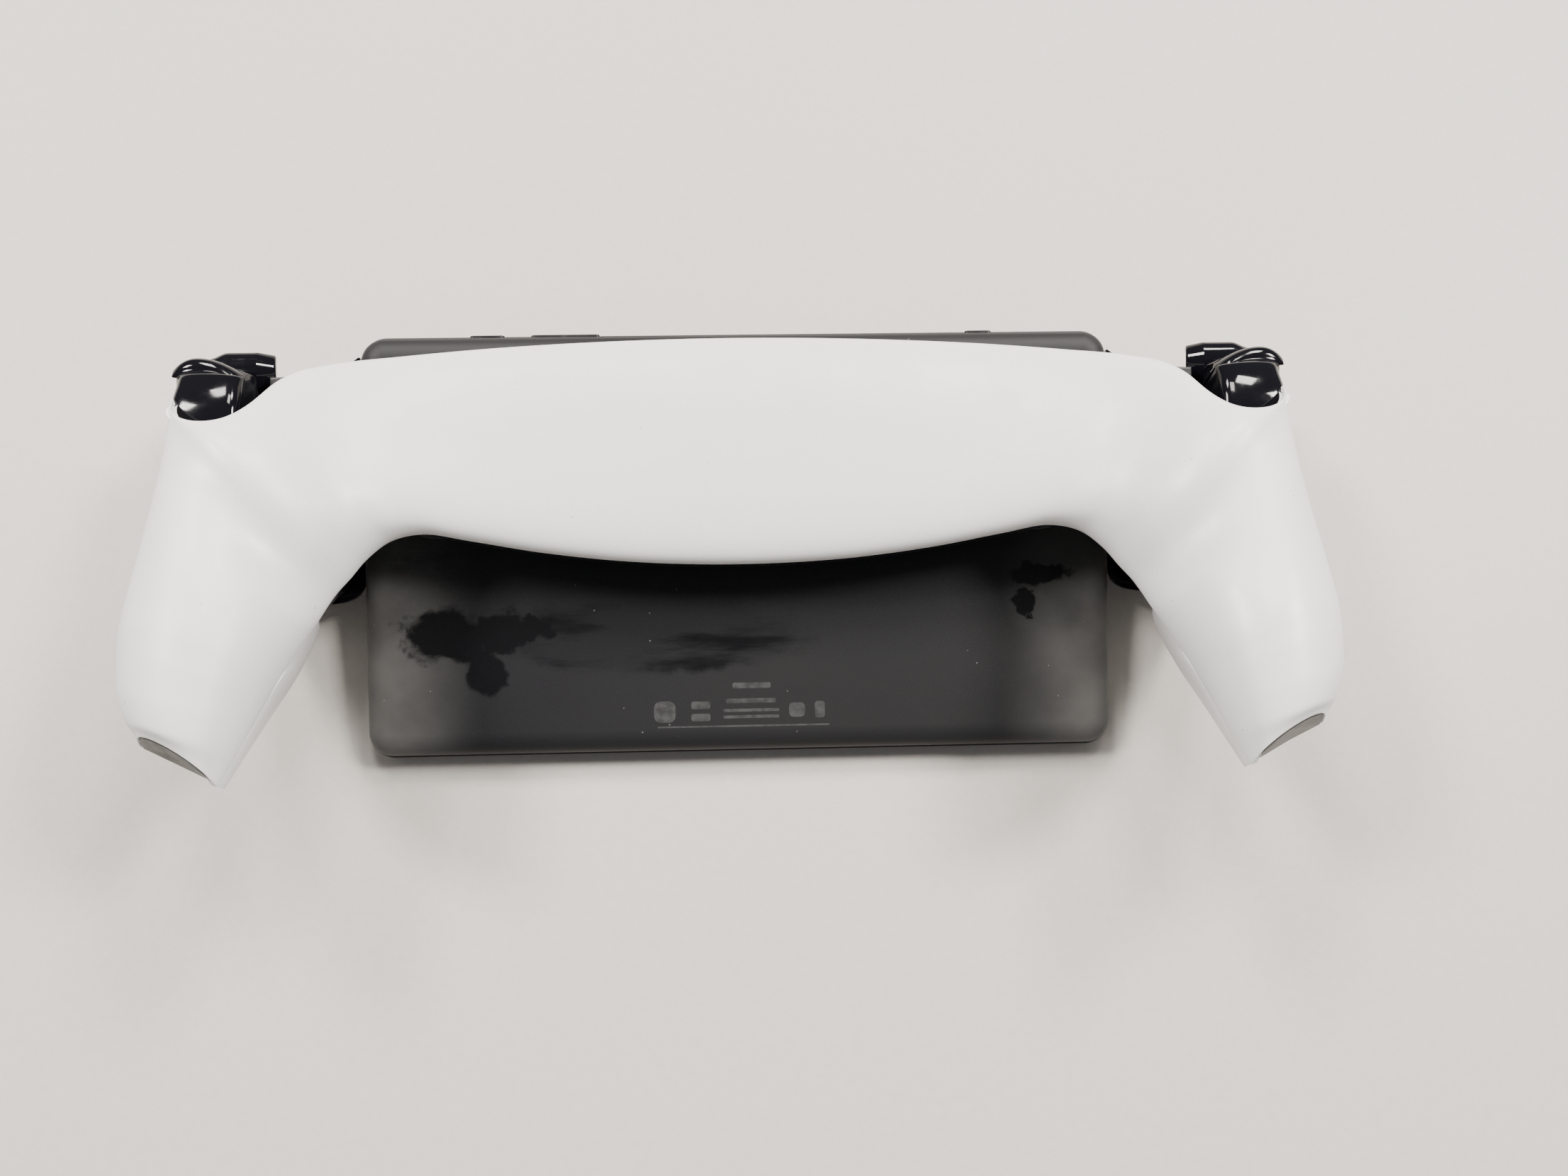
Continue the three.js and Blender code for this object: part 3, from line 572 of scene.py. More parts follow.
trim_steps = 28
trim_proud = 0.1
trim_inset = 0.965
trim_depth = 2.0
trim_across = [(1 - math.cos(math.pi * i / trim_steps)) / 2 for i in range(trim_steps + 1)]
trim_above = [shell_point(last_station, t) for t in trim_across]
trim_below = [front_point(1, t) for t in trim_across]
trim_rim = trim_above + trim_below[-2:0:-1]
trim_centre = sum(trim_rim, Vector()) / len(trim_rim)
trim_along = (trim_above[0] - trim_above[-1]).normalized()
trim_up = (trim_above[trim_steps // 2] - trim_below[trim_steps // 2]).normalized()
trim_out = trim_along.cross(trim_up).normalized()
if trim_out.y > 0:
    trim_out.negate()


def trim_point(index, _, depth):
    """A point of the insert: its rim, standing a little proud, on a gently domed face."""
    ring = trim_rim[round(index) % len(trim_rim)]
    inward = (ring - trim_centre) * (trim_inset - 0.04 * abs(2 * depth - 1) ** 6)
    return trim_centre + inward - trim_out * (trim_depth * depth - trim_proud)


trim = drawn_bar(
    "grip_end_insert", [(index, 0) for index in range(len(trim_rim))], 6, trim_point)
seat_pair(trim, "grip_end_insert_{}", "frame", grey_plastic, "grip_end_trim_{}")

# ---------------------------------------------------------------------------------------
# Side liners: gloss black walls that close the bridge and the grip beside the tablet. They
# carry the same polished plastic as the decks and the triggers.
# ---------------------------------------------------------------------------------------

gloss_black, tree, shader, place = new_material("gloss_black_plastic", (0.004, 0.004, 0.006), 0.1)
film = use_group(tree, hand_film, {"Place": place, "Size": 7.0}).outputs["Mask"]
specks = use_group(tree, dust_specks, {"Place": place, "Share": 0.05}).outputs["Mask"]
tree.links.new(
    blend_colours(tree, specks, (0.004, 0.004, 0.006), (0.08, 0.08, 0.08)),
    shader.inputs["Base Color"])
tree.links.new(ramp(tree, film, 0.0, 1.0, 0.05, 0.12), shader.inputs["Roughness"])
shader.inputs["Specular IOR Level"].default_value = 0.3
ripple = add_node(
    tree, "Bump", {"Strength": 0.03, "Distance": 0.0003, "Height": noise(tree, place, 5.0, 1.0)})
tree.links.new(ripple.outputs["Normal"], shader.inputs["Normal"])

liner_outer = [
    (80.5, 3.9, 25.8), (86.0, 1.5, 28.8), (90.4, -3.4, 32.0),
    (94.0, -8.6, 35.0), (96.6, -12.6, 37.0), (99.2, -17.0, 39.0)]
liner_inner = [
    (81.0, 4.2, 10.6), (89.5, 2.8, 10.6), (100.8, -1.5, 11.2),
    (101.2, -5.5, 5.2), (102.6, -10.2, 5.2), (106.0, -13.2, 5.2)]
liner = swept_sheet(
    "side_liner_wall",
    lambda row, across: along_curve(liner_outer, row).lerp(along_curve(liner_inner, row), across),
    40, 12, Vector((-0.7, -0.7, 0)))
apply_modifier(liner, "SOLIDIFY", thickness=1.2, offset=-1)
round_edges(liner, 0.25, 60)
seat_pair(liner, "side_liner_wall_{}", "frame", gloss_black, "side_liner_{}")

# ---------------------------------------------------------------------------------------
# Tablet: a matte black tray with pillowed edges, moulded in one piece, closed at the front
# by a thin grey rim and the cover glass. Its back holds smears from fingers, and a block of
# plain bars where a maker would print the ratings. Painted shade darkens a band along the
# lower edge of the bridge, and a painted reflection lightens the tray towards its sides.
# ---------------------------------------------------------------------------------------


def rounded_rectangle(width, height, radius, steps=10):
    """The outline of a rectangle with round corners, anticlockwise."""
    outline = []
    for quarter in range(4):
        right = 1 if quarter in (0, 3) else -1
        upper = 1 if quarter < 2 else -1
        for step in range(steps + 1):
            angle = math.pi / 2 * (quarter + step / steps)
            outline.append((
                right * (width / 2 - radius) + radius * math.cos(angle),
                upper * (height / 2 - radius) + radius * math.sin(angle)))
    return outline


def drawn_in(a, b, width, height, radius, inset):
    """A point of a rounded rectangle moved squarely inwards."""
    from_corner = Vector((
        a - max(-width / 2 + radius, min(width / 2 - radius, a)),
        b - max(-height / 2 + radius, min(height / 2 - radius, b))))
    return Vector((a, b)) - from_corner.normalized() * inset


def plate(name, width, height, radius, profile, centre=(0, 0), steps=10):
    """A rounded plate whose edge follows profile, a run of (inset, z)."""
    def place(a, b, layer):
        inset, z = profile[round(layer * (len(profile) - 1))]
        x, y = drawn_in(a, b, width, height, radius, inset)
        return Vector((x + centre[0], y + centre[1], z))
    outline = rounded_rectangle(width, height, radius, steps)
    return drawn_bar(name, outline, len(profile) - 1, place)


def rolled(start_z, end_z, edge, steps=5):
    """A profile with both edges rounded by edge."""
    low = [(edge * (1 - math.sin(t)), start_z + edge * (1 - math.cos(t)))
           for t in (math.pi / 2 * k / steps for k in range(steps + 1))]
    high = [(inset, start_z + end_z - z) for inset, z in reversed(low)]
    return low + high


tray_black, tree, shader, place = new_material("tray_matte_black", (0.03, 0.03, 0.032), 0.52)
wide = ramp(tree, noise(tree, place, 90.0, 1.0), 0.3, 0.7)
plain = blend_colours(tree, wide, (0.010, 0.010, 0.012), (0.015, 0.015, 0.016))
parts = add_node(tree, "SeparateXYZ", {"Vector": place})
# Painted reflection: below the bridge the tray is lightened towards its pillowed sides, where the
# sloping edges would mirror the white grips, and a soft noise breaks the lightening up.
off_middle = maths(tree, "ABSOLUTE", parts.outputs["X"])
below_bridge = ramp(tree, parts.outputs["Y"], 0.0, 0.03, 1.0, 0.0)
near_sides = maths(tree, "MULTIPLY", ramp(tree, off_middle, 0.066, 0.0965), below_bridge)
painted_side_sheen = maths(
    tree, "MULTIPLY", near_sides, ramp(tree, noise(tree, place, 16.0, 3.0), 0.2, 0.8, 0.6, 1.0))
base = blend_colours(tree, painted_side_sheen, plain, (0.12, 0.118, 0.115))
streaky_place = add_node(
    tree, "Mapping", {"Vector": place, "Scale": (0.16, 1.0, 1.0)}).outputs["Vector"]
streaks = ramp(tree, noise(tree, streaky_place, 7.0, 4.0, 0.6), 0.42, 0.66)
streak_zone = patch(tree, place, (-22, -24, 10), (46, 11, 20), 0.7, 14.0)
smears = [
    patch(tree, place, (-76, -23, 10), (14, 8.5, 20), 1.7, 10.0),
    patch(tree, place, (-62, -22, 10), (13, 6.5, 20), 1.7, 9.0),
    patch(tree, place, (-66, -33, 10), (6.5, 6, 20), 1.6, 8.0),
    patch(tree, place, (79, -9, 10), (8, 3.6, 20), 2.4, 6.0),
    patch(tree, place, (75, -16, 10), (3.4, 5, 20), 2.6, 4.0),
]
smear_and_shade = maths(tree, "MULTIPLY", streak_zone, maths(tree, "MULTIPLY_ADD", streaks, 0.75, 0.25))
for each in smears:
    smear_and_shade = maths(tree, "MAXIMUM", smear_and_shade, each)
# Painted shade: a streaky dark band along the lower edge of the bridge, where its shadow falls on
# the tray. It is joined to the finger smears, so it darkens and smooths the surface as they do.
bridge_shade_band = patch(tree, place, (-10, 0, 10), (95, 9, 20), 1.2, 22.0)
painted_bridge_shade = maths(tree, "MULTIPLY", bridge_shade_band, streaks)
smear_and_shade = maths(tree, "MAXIMUM", smear_and_shade, maths(tree, "MULTIPLY", painted_bridge_shade, 0.6))
specks = use_group(tree, dust_specks, {"Place": place, "Share": 0.06}).outputs["Mask"]
# Real finger grease and the painted shade under the bridge both darken the base here.
greasy_and_shaded = blend_colours(tree, smear_and_shade, base, (0.003, 0.003, 0.004))
dusty = blend_colours(tree, maths(tree, "MULTIPLY", specks, 0.5), greasy_and_shaded, (0.2, 0.2, 0.2))
tree.links.new(dusty, shader.inputs["Base Color"])
tree.links.new(ramp(tree, smear_and_shade, 0.0, 1.0, 0.5, 0.34), shader.inputs["Roughness"])
grain = use_group(tree, mould_grain, {"Place": place, "Depth": 0.35}).outputs["Normal"]
tree.links.new(grain, shader.inputs["Normal"])
shader.inputs["Specular IOR Level"].default_value = 0.28

rim_black, tree, shader, place = new_material("rim_satin_black", (0.05, 0.05, 0.052), 0.38)
film = use_group(tree, hand_film, {"Place": place, "Size": 12.0}).outputs["Mask"]
tree.links.new(
    blend_colours(tree, film, (0.022, 0.022, 0.023), (0.012, 0.012, 0.013)),
    shader.inputs["Base Color"])
grain = use_group(tree, mould_grain, {"Place": place, "Depth": 0.15}).outputs["Normal"]
tree.links.new(grain, shader.inputs["Normal"])

tray_step = 0.9
tray_base = frame_depth + 0.35
tray_back = 10.0
pillow_width = 6.0
pillow_height = 3.6
pillow_steps = 9
tray_profile = [(0.4, tray_base), (0, tray_base + 0.4)]
for step in range(pillow_steps + 1):
    turn = math.pi / 2 * step / pillow_steps
    tray_profile.append((
        pillow_width * (1 - math.cos(turn)),
        tray_back - pillow_height * (1 - math.sin(turn))))
tray = plate(
    "tablet_tray", tablet_width - 2 * tray_step, tablet_height - 2 * tray_step,
    tablet_corner - tray_step / 2, tray_profile, steps=14)
seat(tray, "frame", tray_black, ["tablet_rear_cover"], 60)

rim_wall = 1.6
rim = plate(
    "tablet_rim", tablet_width, tablet_height, tablet_corner,
    rolled(0, frame_depth, frame_edge), steps=14)
opening = plate(
    "rim_opening", tablet_width - 2 * rim_wall, tablet_height - 2 * rim_wall, 5.4,
    [(0, -1), (0, frame_depth + 1)], steps=14)


def cut_away(piece, *cutters):
    """Cuts the cutters out of a piece, and removes them."""
    for cutter in cutters:
        apply_modifier(piece, "BOOLEAN", operation="DIFFERENCE", solver="EXACT", object=cutter)
        bpy.data.meshes.remove(cutter.data)


key_slots = [
    plate("key_slot", length + 0.6, 2.8, 1.2, [(0, -3), (0, 3)], steps=4)
    for length in (9, 7, 18)]
key_centres = (-65.5, 64.5, -45.0)
key_height = 4.1
upright = Matrix.Rotation(math.radians(90), 4, "X")
for slot_cutter, centre in zip(key_slots, key_centres):
    slot_cutter.data.transform(
        Matrix.Translation((centre, tablet_height / 2, key_height)) @ upright)
cut_away(rim, opening, *key_slots)
seat(rim, "frame", rim_black, ["tablet_frame"], 40)

glass_black, tree, shader, place = new_material("cover_glass_black", (0.004, 0.004, 0.005), 0.04)
film = use_group(tree, hand_film, {"Place": place, "Size": 26.0}).outputs["Mask"]
across_screen = maths(tree, "ABSOLUTE", add_node(
    tree, "SeparateXYZ", {"Vector": place}).outputs["X"])
lit_area = ramp(tree, across_screen, 0.0884, 0.0887, 1.0, 0.0)
tree.links.new(
    blend_colours(tree, lit_area, (0.003, 0.003, 0.003), (0.008, 0.008, 0.010)),
    shader.inputs["Base Color"])
tree.links.new(ramp(tree, film, 0.0, 1.0, 0.03, 0.09), shader.inputs["Roughness"])

glass_edge = 1.95
glass = plate(
    "screen_glass_pane", tablet_width - 2 * glass_edge, tablet_height - 2 * glass_edge, 5.0,
    rolled(0.15, 1.0, 0.3, 3), steps=14)
seat(glass, "frame", glass_black, ["cover_glass"], 40)

print_grey, tree, shader, place = new_material("rating_print", (0.028, 0.028, 0.03), 0.5)
worn = noise(tree, place, 2.0, 3.0)
tree.links.new(
    blend_colours(tree, ramp(tree, worn, 0.35, 0.7), (0.045, 0.045, 0.046), (0.022, 0.022, 0.023)),
    shader.inputs["Base Color"])
print_bars = [
    (-20.2, -44.0, 5.6, 5.6), (-10.8, -42.4, 5.0, 2.0), (-10.8, -45.6, 5.0, 2.0),
    (2.4, -41.4, 13.0, 1.2), (2.4, -43.9, 14.6, 0.8), (2.4, -45.6, 14.6, 0.8),
    (14.4, -44.0, 4.2, 3.8), (20.4, -44.0, 2.6, 4.4), (0.4, -48.0, 45.0, 0.45),
    (2.6, -37.4, 10.0, 1.5),
]
bars = []
for x, y, width, height in print_bars:
    bars.append(plate(
        "rating_bar", width, height, min(width, height) * 0.3,
        [(0, tray_back - 0.02), (0, tray_back + 0.012)], (x, y), steps=3))
bpy.ops.object.select_all(action="DESELECT")
for each in bars:
    each.select_set(True)
bpy.context.view_layer.objects.active = bars[0]
bpy.ops.object.join()
bars[0].name = "rating_print_bars"
seat(bars[0], "frame", print_grey)

# ---------------------------------------------------------------------------------------
# Triggers: gloss black mouldings that turn on steel pins inside the shoulder. Each has a
# barrel-shaped skirt that dips behind the shell, and a flared lip for the fingertip.
# ---------------------------------------------------------------------------------------


def eased(value, low, high):
    """0 below low, 1 above high, and a smooth step between them."""
    part = min(max((value - low) / (high - low), 0), 1)
    return part * part * (3 - 2 * part)


def smooth_loop(points, steps):
    """A closed outline that runs smoothly through points."""
    outline = []
    for first in range(len(points)):
        run = [points[(first + k) % len(points)] for k in (-1, 0, 1, 2)]
        outline += [along_curve(run, (1 + step / steps) / 3) for step in range(steps)]
    return outline


trigger_profile = [
    (29.2, 18.2), (28.8, 13.9), (31.0, 12.2), (33.6, 13.0), (35.6, 16.6), (38.8, 21.0),
    (43.0, 22.8), (45.8, 23.8), (47.0, 25.2), (47.3, 26.8), (46.7, 28.1), (45.4, 28.8),
    (43.9, 29.0), (42.9, 29.5), (42.0, 30.7), (39.6, 32.3), (36.2, 33.9), (32.4, 34.9),
    (28.4, 35.0), (27.2, 33.6), (28.4, 29.0), (29.0, 24.0),
]
trigger_inner = 118.2
trigger_outer = 134.0
trigger_hidden_step = 1.3
trigger_waist_step = 3.6
lip_crown = 0.3
lip_lowered = 0.9
lip_outward = (1.9, 2.1)
lip_droop_inner = 3.9
lip_droop_outer = 2.4
neck_y = 39.5
neck_step = 0.3


def trigger_point(y, z, across):
    """Lays a point of the profile out at a place across the trigger."""
    centred = 2 * across - 1
    lip = eased(y, 41.6, 44.4) * eased(z, 22, 25)
    outside = eased(z, 20, 27)
    x = trigger_inner + (trigger_outer - trigger_inner) * across
    x += lip * (lip_outward[1] * across + lip_outward[0] * (1 - across))
    x -= neck_step * centred * math.exp(-((y - neck_y) / 2.6) ** 2) * (1 - lip)
    x -= (1 - outside) * across * trigger_hidden_step
    x -= eased(-y, -33.4, -28.2) * across * trigger_waist_step
    past_crown = centred - lip_crown
    if past_crown < 0:
        droop = lip_droop_inner * (past_crown / (1 + lip_crown)) ** 2
    else:
        droop = lip_droop_outer * (past_crown / (1 - lip_crown)) ** 2
    arch = droop * eased(y, 41.0, 46.0) * outside + lip_lowered * lip
    barrel = (1 - lip) * outside * (0.6 * centred ** 2 + 1.2 * centred ** 10)
    return Vector((x, y - arch - 0.3 * barrel, z - barrel - 1.0 * lip * centred ** 4))


trigger = drawn_bar("trigger_right", smooth_loop(trigger_profile, 5), 28, trigger_point)
round_edges(trigger, 0.9, 60, 4)
seat_pair(trigger, "trigger_moulding_{}", "trigger_{}_body", gloss_black,
          "trigger_{}", 50)

# ---------------------------------------------------------------------------------------
# Bumpers: gloss black keys in front of the triggers, on pins of their own. The inner end is
# bevelled a little and cut back towards the screen side.
# ---------------------------------------------------------------------------------------

bumper_profile = [
    (37.6, 8.2), (38.6, 6.2), (42.0, 5.9), (45.8, 6.1), (48.6, 7.4), (50.0, 10.0),
    (50.2, 13.0), (49.6, 15.6), (47.6, 17.0), (44.6, 17.2), (41.8, 16.4), (39.2, 14.2),
    (38.0, 11.4),
]
bumper_inner = 116.6
bumper_outer = 132.8
bumper_facet = 0.24
bumper_undercut = 0.3
bumper_back = 17


def bumper_point(y, z, across):
    end = max(0, 1 - across / bumper_facet)
    outer = eased(across, 0.72, 1.0)
    x = bumper_inner + (bumper_outer - bumper_inner) * across
    x += (1 - across) * bumper_undercut * (bumper_back - z)
    y -= eased(y, 44, 50) * (0.5 * end + 1.4 * outer)
    z -= eased(z, 9, 16) * 2.4 * end
    return Vector((x, y, z))


bumper = drawn_bar("bumper_right", smooth_loop(bumper_profile, 4), 25, bumper_point)
round_edges(bumper, 0.8, 60, 3)
seat_pair(bumper, "bumper_moulding_{}", "bumper_{}_body", gloss_black,
          "bumper_{}", 24)

# ---------------------------------------------------------------------------------------
# Control decks: gloss black fascias beside the screen, moulded and then drilled for the
# thumbstick and the buttons, with a round edge at every hole.
# ---------------------------------------------------------------------------------------

deck_inner = tablet_width / 2 + 0.4
deck_front = 2.2
deck_back = 4.6
side_centre = 113.5
cluster_height = 25.5
stick_hole = 12.8
menu_place = (104.0, 40.6)
menu_radius = 2.4
lower_place = (103.2, 12.6)
lower_radius = 2.6
face_radius = 4.6
face_spacing = 8.4
cross_radius = 10.4
running_gap = 0.4


def bezier(start, first, second, end, steps=10):
    """Points along a curve from start up to, but not at, end."""
    points = []
    for step in range(steps):
        t = step / steps
        points.append(
            (1 - t) ** 3 * Vector(start) + 3 * (1 - t) ** 2 * t * Vector(first)
            + 3 * (1 - t) * t * t * Vector(second) + t ** 3 * Vector(end))
    return points


deck_outline = [
    (deck_inner, 50.4), (deck_inner, 36), (deck_inner, 14),
    *bezier((deck_inner, -8.0), (deck_inner, -14.2), (105.0, -14.6), (112.0, -14.6)),
    *bezier((112.0, -14.6), (122.0, -14.6), (129.6, -8.0), (129.9, 6.0)),
    (129.9, 6.0), (129.9, 20.0),
    *bezier((129.9, 32.0), (129.4, 39.0), (124.0, 42.6), (117.0, 43.4)),
    *bezier((117.0, 43.4), (108.0, 44.2), (104.0, 47.0), (deck_inner, 50.4)),
]


def round_cutter(place, radius):
    bpy.ops.object.select_all(action="DESELECT")
    bpy.ops.mesh.primitive_cylinder_add(
        vertices=72, radius=radius, depth=20, location=(place[0], place[1], deck_front))
    cutter = bpy.context.object
    bpy.ops.object.transform_apply(location=True)
    return cutter


def deck(name, holes):
    piece = drawn_bar(
        name, deck_outline, 1,
        lambda a, b, layer: Vector((a, b, deck_front + (deck_back - deck_front) * layer)))
    cut_away(piece, *[round_cutter(place, radius) for place, radius in holes])
    round_edges(piece, 0.35, 50)
    return piece


shared_holes = [
    ((side_centre, 0), stick_hole),
    (menu_place, menu_radius + running_gap),
    (lower_place, lower_radius + running_gap),
]
face_places = {
    "upper": (side_centre, cluster_height + face_spacing),
    "lower": (side_centre, cluster_height - face_spacing),
    "inner": (side_centre - face_spacing, cluster_height),
    "outer": (side_centre + face_spacing, cluster_height),
}
cross_deck = deck(
    "control_deck_right",
    shared_holes + [((side_centre, cluster_height), cross_radius + running_gap)])
seat(cross_deck, "frame", gloss_black, ["deck_right"], 40)
button_deck = deck(
    "deck_blank", shared_holes + [(at, face_radius + running_gap) for at in face_places.values()])
mirrored_deck = mirror_copy(button_deck, "control_deck_left")
bpy.data.meshes.remove(button_deck.data)
seat(mirrored_deck, "frame", gloss_black, ["deck_left"], 40)

# ---------------------------------------------------------------------------------------
# Thumbsticks: soft rubber caps on plastic stems, each with a dished top inside a knurled
# rim. The domed gimbal under the cap fills the round hole in the deck.
# ---------------------------------------------------------------------------------------

stick_pivot = 9.5
stick_proud = math.tan(rest_tilt) * (tablet_height / 2 - frame_edge - 8.0)


def turned(name, profile, centre, segments=64, ridge=0.0, ridged=()):
    """A piece turned on a lathe from (radius, z) points, with fine ridges in some rows."""
    circle = [
        (math.cos(2 * math.pi * k / segments), math.sin(2 * math.pi * k / segments))
        for k in range(segments)]

    def place(a, b, layer):
        row = round(layer * (len(profile) - 1))
        radius, z = profile[row]
        if row in ridged:
            radius -= ridge * (round(math.atan2(b, a) / (2 * math.pi) * segments) % 2)
        return Vector((centre[0] + a * radius, centre[1] + b * radius, z))

    return drawn_bar(name, circle, len(profile) - 1, place)


soft_rubber, tree, shader, place = new_material("soft_stick_rubber", (0.022, 0.022, 0.024), 0.62)
film = use_group(tree, hand_film, {"Place": place, "Size": 5.0}).outputs["Mask"]
specks = use_group(tree, dust_specks, {"Place": place, "Share": 0.12}).outputs["Mask"]
worn = blend_colours(tree, film, (0.018, 0.018, 0.020), (0.034, 0.034, 0.035))
tree.links.new(
    blend_colours(tree, specks, worn, (0.2, 0.19, 0.18)), shader.inputs["Base Color"])
tree.links.new(ramp(tree, film, 0.0, 1.0, 0.7, 0.5), shader.inputs["Roughness"])
grain = use_group(tree, mould_grain, {"Place": place, "Depth": 0.5}).outputs["Normal"]
tree.links.new(grain, shader.inputs["Normal"])

top = -stick_proud
cap_profile = [
    (0.05, top + 1.25), (2.0, top + 1.2), (4.0, top + 1.05), (5.6, top + 0.8), (6.6, top + 0.3),
    (7.3, top + 0.05), (8.0, top), (8.6, top + 0.15), (8.95, top + 0.5), (8.95, top + 0.9),
    (8.95, top + 1.6), (8.95, top + 2.0), (8.6, top + 2.4), (7.4, top + 3.3), (6.0, top + 3.9),
    (5.2, top + 4.5), (4.7, top + 5.6), (4.6, top + 7.0), (4.0, stick_pivot - 6.6),
    (2.2, stick_pivot - 5.6), (2.2, stick_pivot - 3.6), (0.05, stick_pivot - 3.6),
]
cap = turned("stick_cap", cap_profile, (side_centre, 0), 120, 0.16, (9, 10))
seat_pair(cap, "stick_cap_rubber_{}", "stick_{}", soft_rubber, "stick_cap_{}", 50)

inner_black, tree, shader, place = new_material("inner_black_plastic", (0.017, 0.017, 0.018), 0.4)
film = use_group(tree, hand_film, {"Place": place, "Size": 6.0}).outputs["Mask"]
tree.links.new(
    blend_colours(tree, film, (0.014, 0.014, 0.015), (0.026, 0.026, 0.026)),
    shader.inputs["Base Color"])
tree.links.new(ramp(tree, film, 0.0, 1.0, 0.32, 0.5), shader.inputs["Roughness"])
grain = use_group(tree, mould_grain, {"Place": place, "Depth": 0.3}).outputs["Normal"]
tree.links.new(grain, shader.inputs["Normal"])

gimbal_profile = [
    (0.05, stick_pivot - 2.4), (1.6, stick_pivot - 2.4), (3.0, stick_pivot - 2.2),
    (4.2, stick_pivot - 1.5), (4.9, stick_pivot - 0.5), (5.0, stick_pivot + 0.4),
    (4.5, stick_pivot + 1.3), (3.5, stick_pivot + 1.9), (0.05, stick_pivot + 2.0),
]
gimbal = turned("stick_gimbal_ball", gimbal_profile, (side_centre, 0), 48)
seat_pair(gimbal, "stick_gimbal_ball_{}", "stick_tilt_{}", inner_black,
          "stick_gimbal_{}")

# ---------------------------------------------------------------------------------------
# Buttons: a rounded cross that rocks on its middle, four domed round keys, and small flush
# keys beside the screen and on the tablet's upper edge. None of them carries a symbol.
# ---------------------------------------------------------------------------------------


def button_profile(radius, proud):
    front = deck_front - proud
    collar = deck_back + 0.35
    return [
        (0.05, front), (radius * 0.4, front + 0.02), (radius * 0.7, front + 0.12),
        (radius * 0.86, front + 0.3), (radius * 0.95, front + 0.55), (radius, front + 0.9),
        (radius, collar), (radius + 0.6, collar), (radius + 0.6, collar + 0.8),
        (0.05, collar + 0.8)]


for name, at in face_places.items():
    key = turned("face_key_blank", button_profile(face_radius, 1.6), at)
    left_key = mirror_copy(key, "face_key_" + name)
    bpy.data.meshes.remove(key.data)
    seat(left_key, f"face_button_{name}_body", gloss_black,
         [f"face_button_{name}"], 40)

small_keys = [
    ("share_button", menu_place, menu_radius, 1),
    ("home_button", lower_place, lower_radius, 1),
    ("options_button", menu_place, menu_radius, -1),
    ("mute_button", lower_place, lower_radius, -1),
]
for name, at, radius, side in small_keys:
    key = turned(name + "_key", button_profile(radius, 0.8), at, 40)
    if side < 0:
        blank = key
        key = mirror_copy(blank, name + "_key_left")
        bpy.data.meshes.remove(blank.data)
    seat(key, name + "_body", inner_black, [name], 40)

cross_arm = 3.5
cross_reach = cross_radius - 0.95
cross_corner = 1.1
cross_outline = []
for quarter in range(4):
    turn = Matrix.Rotation(math.pi / 2 * quarter, 2)
    corner_path = [(cross_reach, -cross_arm + cross_corner)]
    corner_path += [(cross_reach, cross_arm - cross_corner), (cross_reach - 0.3, cross_arm - 0.3)]
    corner_path += [(cross_reach - cross_corner, cross_arm), (cross_arm + 0.6, cross_arm)]
    corner_path += [(cross_arm + 0.15, cross_arm + 0.15)]
    cross_outline += [turn @ Vector(point) for point in corner_path]
cross_front = deck_front - 1.6


def cross_point(a, b, layer):
    """Rounds the front edge of the cross, and lets its arms rise towards their ends."""
    inset = 0.55 * max(0, 1 - layer * 5) ** 2
    reach = Vector((a, b)).length
    scale = 1 - inset / reach
    rise = 0.35 * (1 - layer) * (reach / cross_reach)
    z = cross_front + 0.35 + (deck_back - cross_front - 0.35) * layer - rise
    return Vector((side_centre + a * scale, cluster_height + b * scale, z))


cross = drawn_bar("cross_pad_key", cross_outline, 10, cross_point)
round_edges(cross, 0.25, 50)
seat(cross, "cross_pad_body", gloss_black, ["cross_pad"], 40)

edge_keys = [
    ("power_button", -65.5, 9.0), ("link_button", 64.5, 7.0), ("volume_rocker", -45.0, 18.0)]
for name, centre, length in edge_keys:
    key = plate(name + "_key", length, 2.2, 0.9, [
        (0, -2.6), (0, 0.02), (0.1, 0.12), (0.35, 0.2)], steps=6)
    on_edge = Matrix.Translation((centre, tablet_height / 2, key_height))
    key.data.transform(on_edge @ upright.inverted())
    seat(key, name + "_body", inner_black, [name], 40)

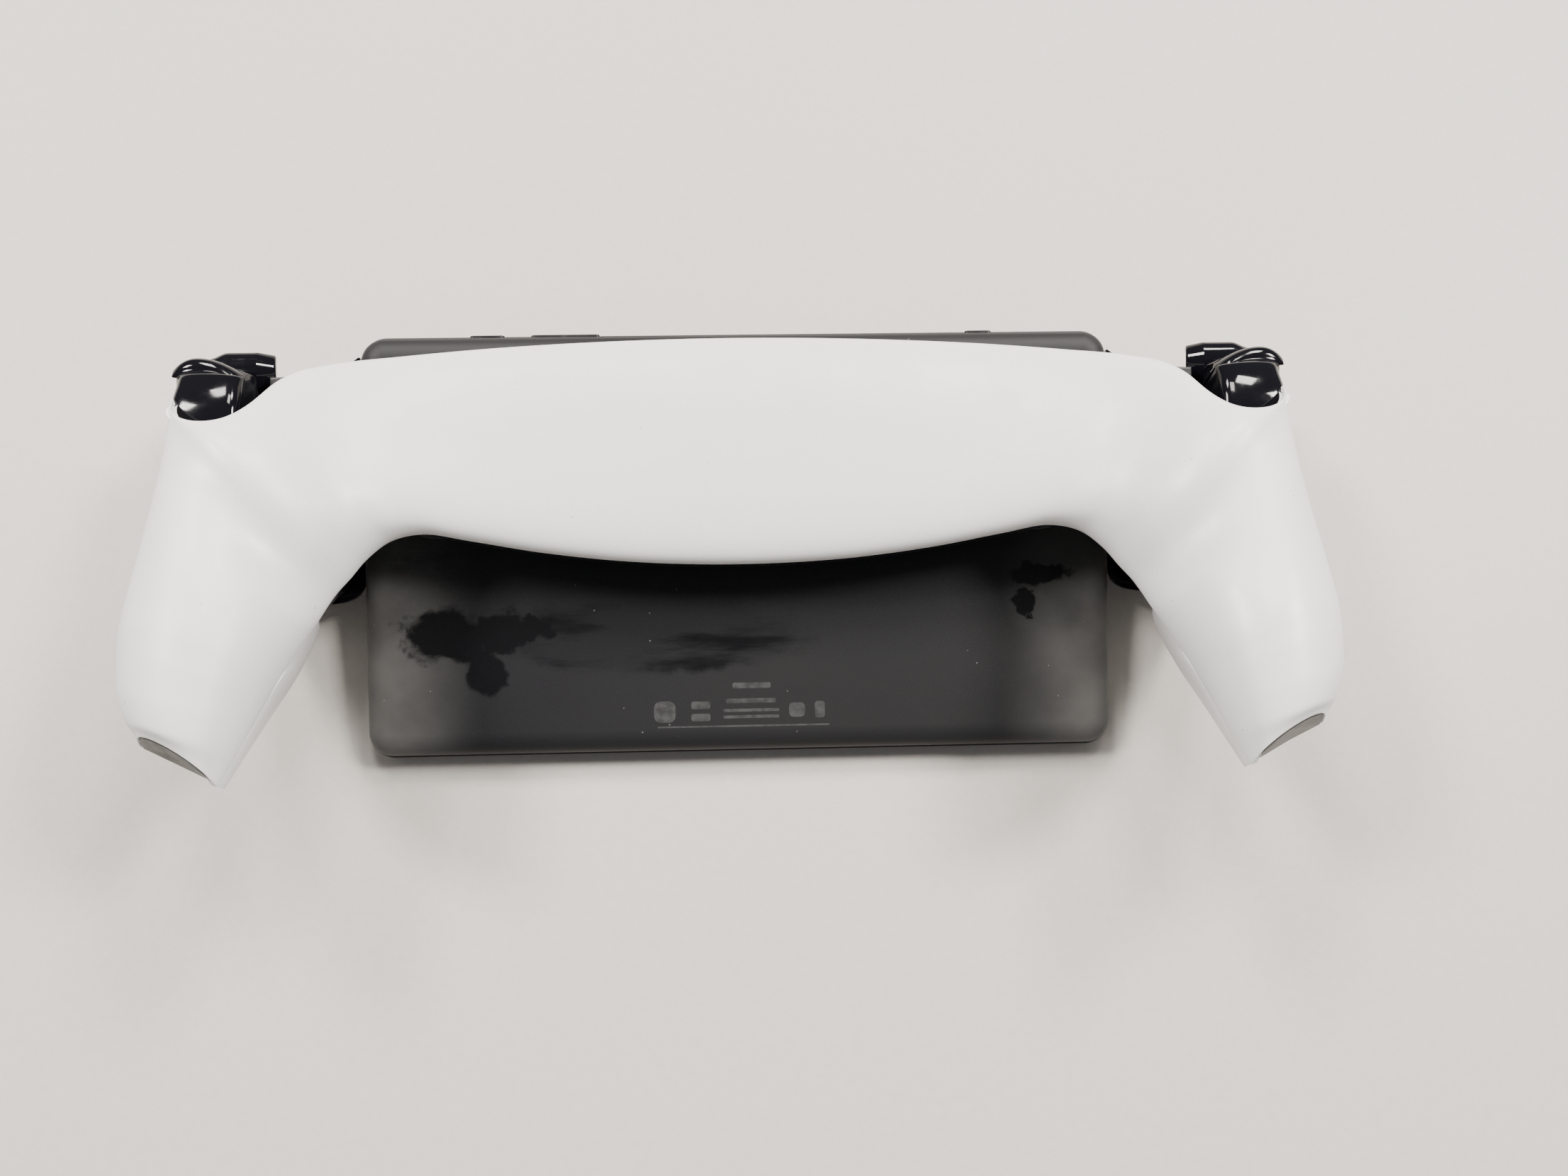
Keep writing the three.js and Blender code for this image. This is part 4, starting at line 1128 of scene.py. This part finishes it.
# ---------------------------------------------------------------------------------------
# Parts inside: they keep the shapes that they have in the frame, and take the finishes of
# moulded plastic, plated steel, solder mask, foil and silicone.
# ---------------------------------------------------------------------------------------

steel, tree, shader, place = new_material("plated_steel", (0.62, 0.62, 0.64), 0.28)
shader.inputs["Metallic"].default_value = 1.0
brushed = add_node(tree, "Mapping", {"Vector": place, "Scale": (1.0, 12.0, 12.0)}).outputs["Vector"]
tree.links.new(
    ramp(tree, noise(tree, brushed, 3.0, 3.0), 0.3, 0.7, 0.2, 0.4), shader.inputs["Roughness"])

solder_mask, tree, shader, place = new_material("solder_mask_green", (0.02, 0.12, 0.05), 0.4)
tracks = ramp(tree, noise(tree, place, 1.6, 0.0), 0.48, 0.52)
tree.links.new(
    blend_colours(tree, tracks, (0.015, 0.10, 0.04), (0.03, 0.17, 0.07)),
    shader.inputs["Base Color"])

cell_foil, tree, shader, place = new_material("battery_foil", (0.12, 0.13, 0.14), 0.35)
tree.links.new(
    ramp(tree, noise(tree, place, 12.0, 3.0), 0.3, 0.7, 0.28, 0.5), shader.inputs["Roughness"])

silicone, tree, shader, place = new_material("membrane_silicone", (0.35, 0.38, 0.37), 0.6)
tree.links.new(
    blend_colours(
        tree, noise(tree, place, 4.0, 3.0), (0.31, 0.34, 0.33), (0.40, 0.43, 0.42)),
    shader.inputs["Base Color"])

finishes = {
    "matte_black": tray_black, "inner_black": inner_black, "board": solder_mask,
    "battery_cell": cell_foil, "steel": steel, "silicone": silicone,
}
kept_nodes = {
    "matte_black": ["bridge_skirt"],
    "inner_black": [
        "lcd_panel", "audio_socket", "cross_pad_rocker", "shoulder_housing_{}", "stick_base_{}",
        "stick_housing_{}", "speaker_{}"],
    "board": ["main_board", "antenna_board_{}"],
    "battery_cell": ["battery_pack"],
    "steel": ["usb_socket", "trigger_pin_{}", "bumper_pin_{}", "rumble_motor_{}"],
    "silicone": ["button_membrane_{}"],
}
for slot, names in kept_nodes.items():
    for name in names:
        for side in ("right", "left") if "{}" in name else ("",):
            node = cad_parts[name.format(side)]
            node.data.materials.clear()
            node.data.materials.append(finishes[slot])
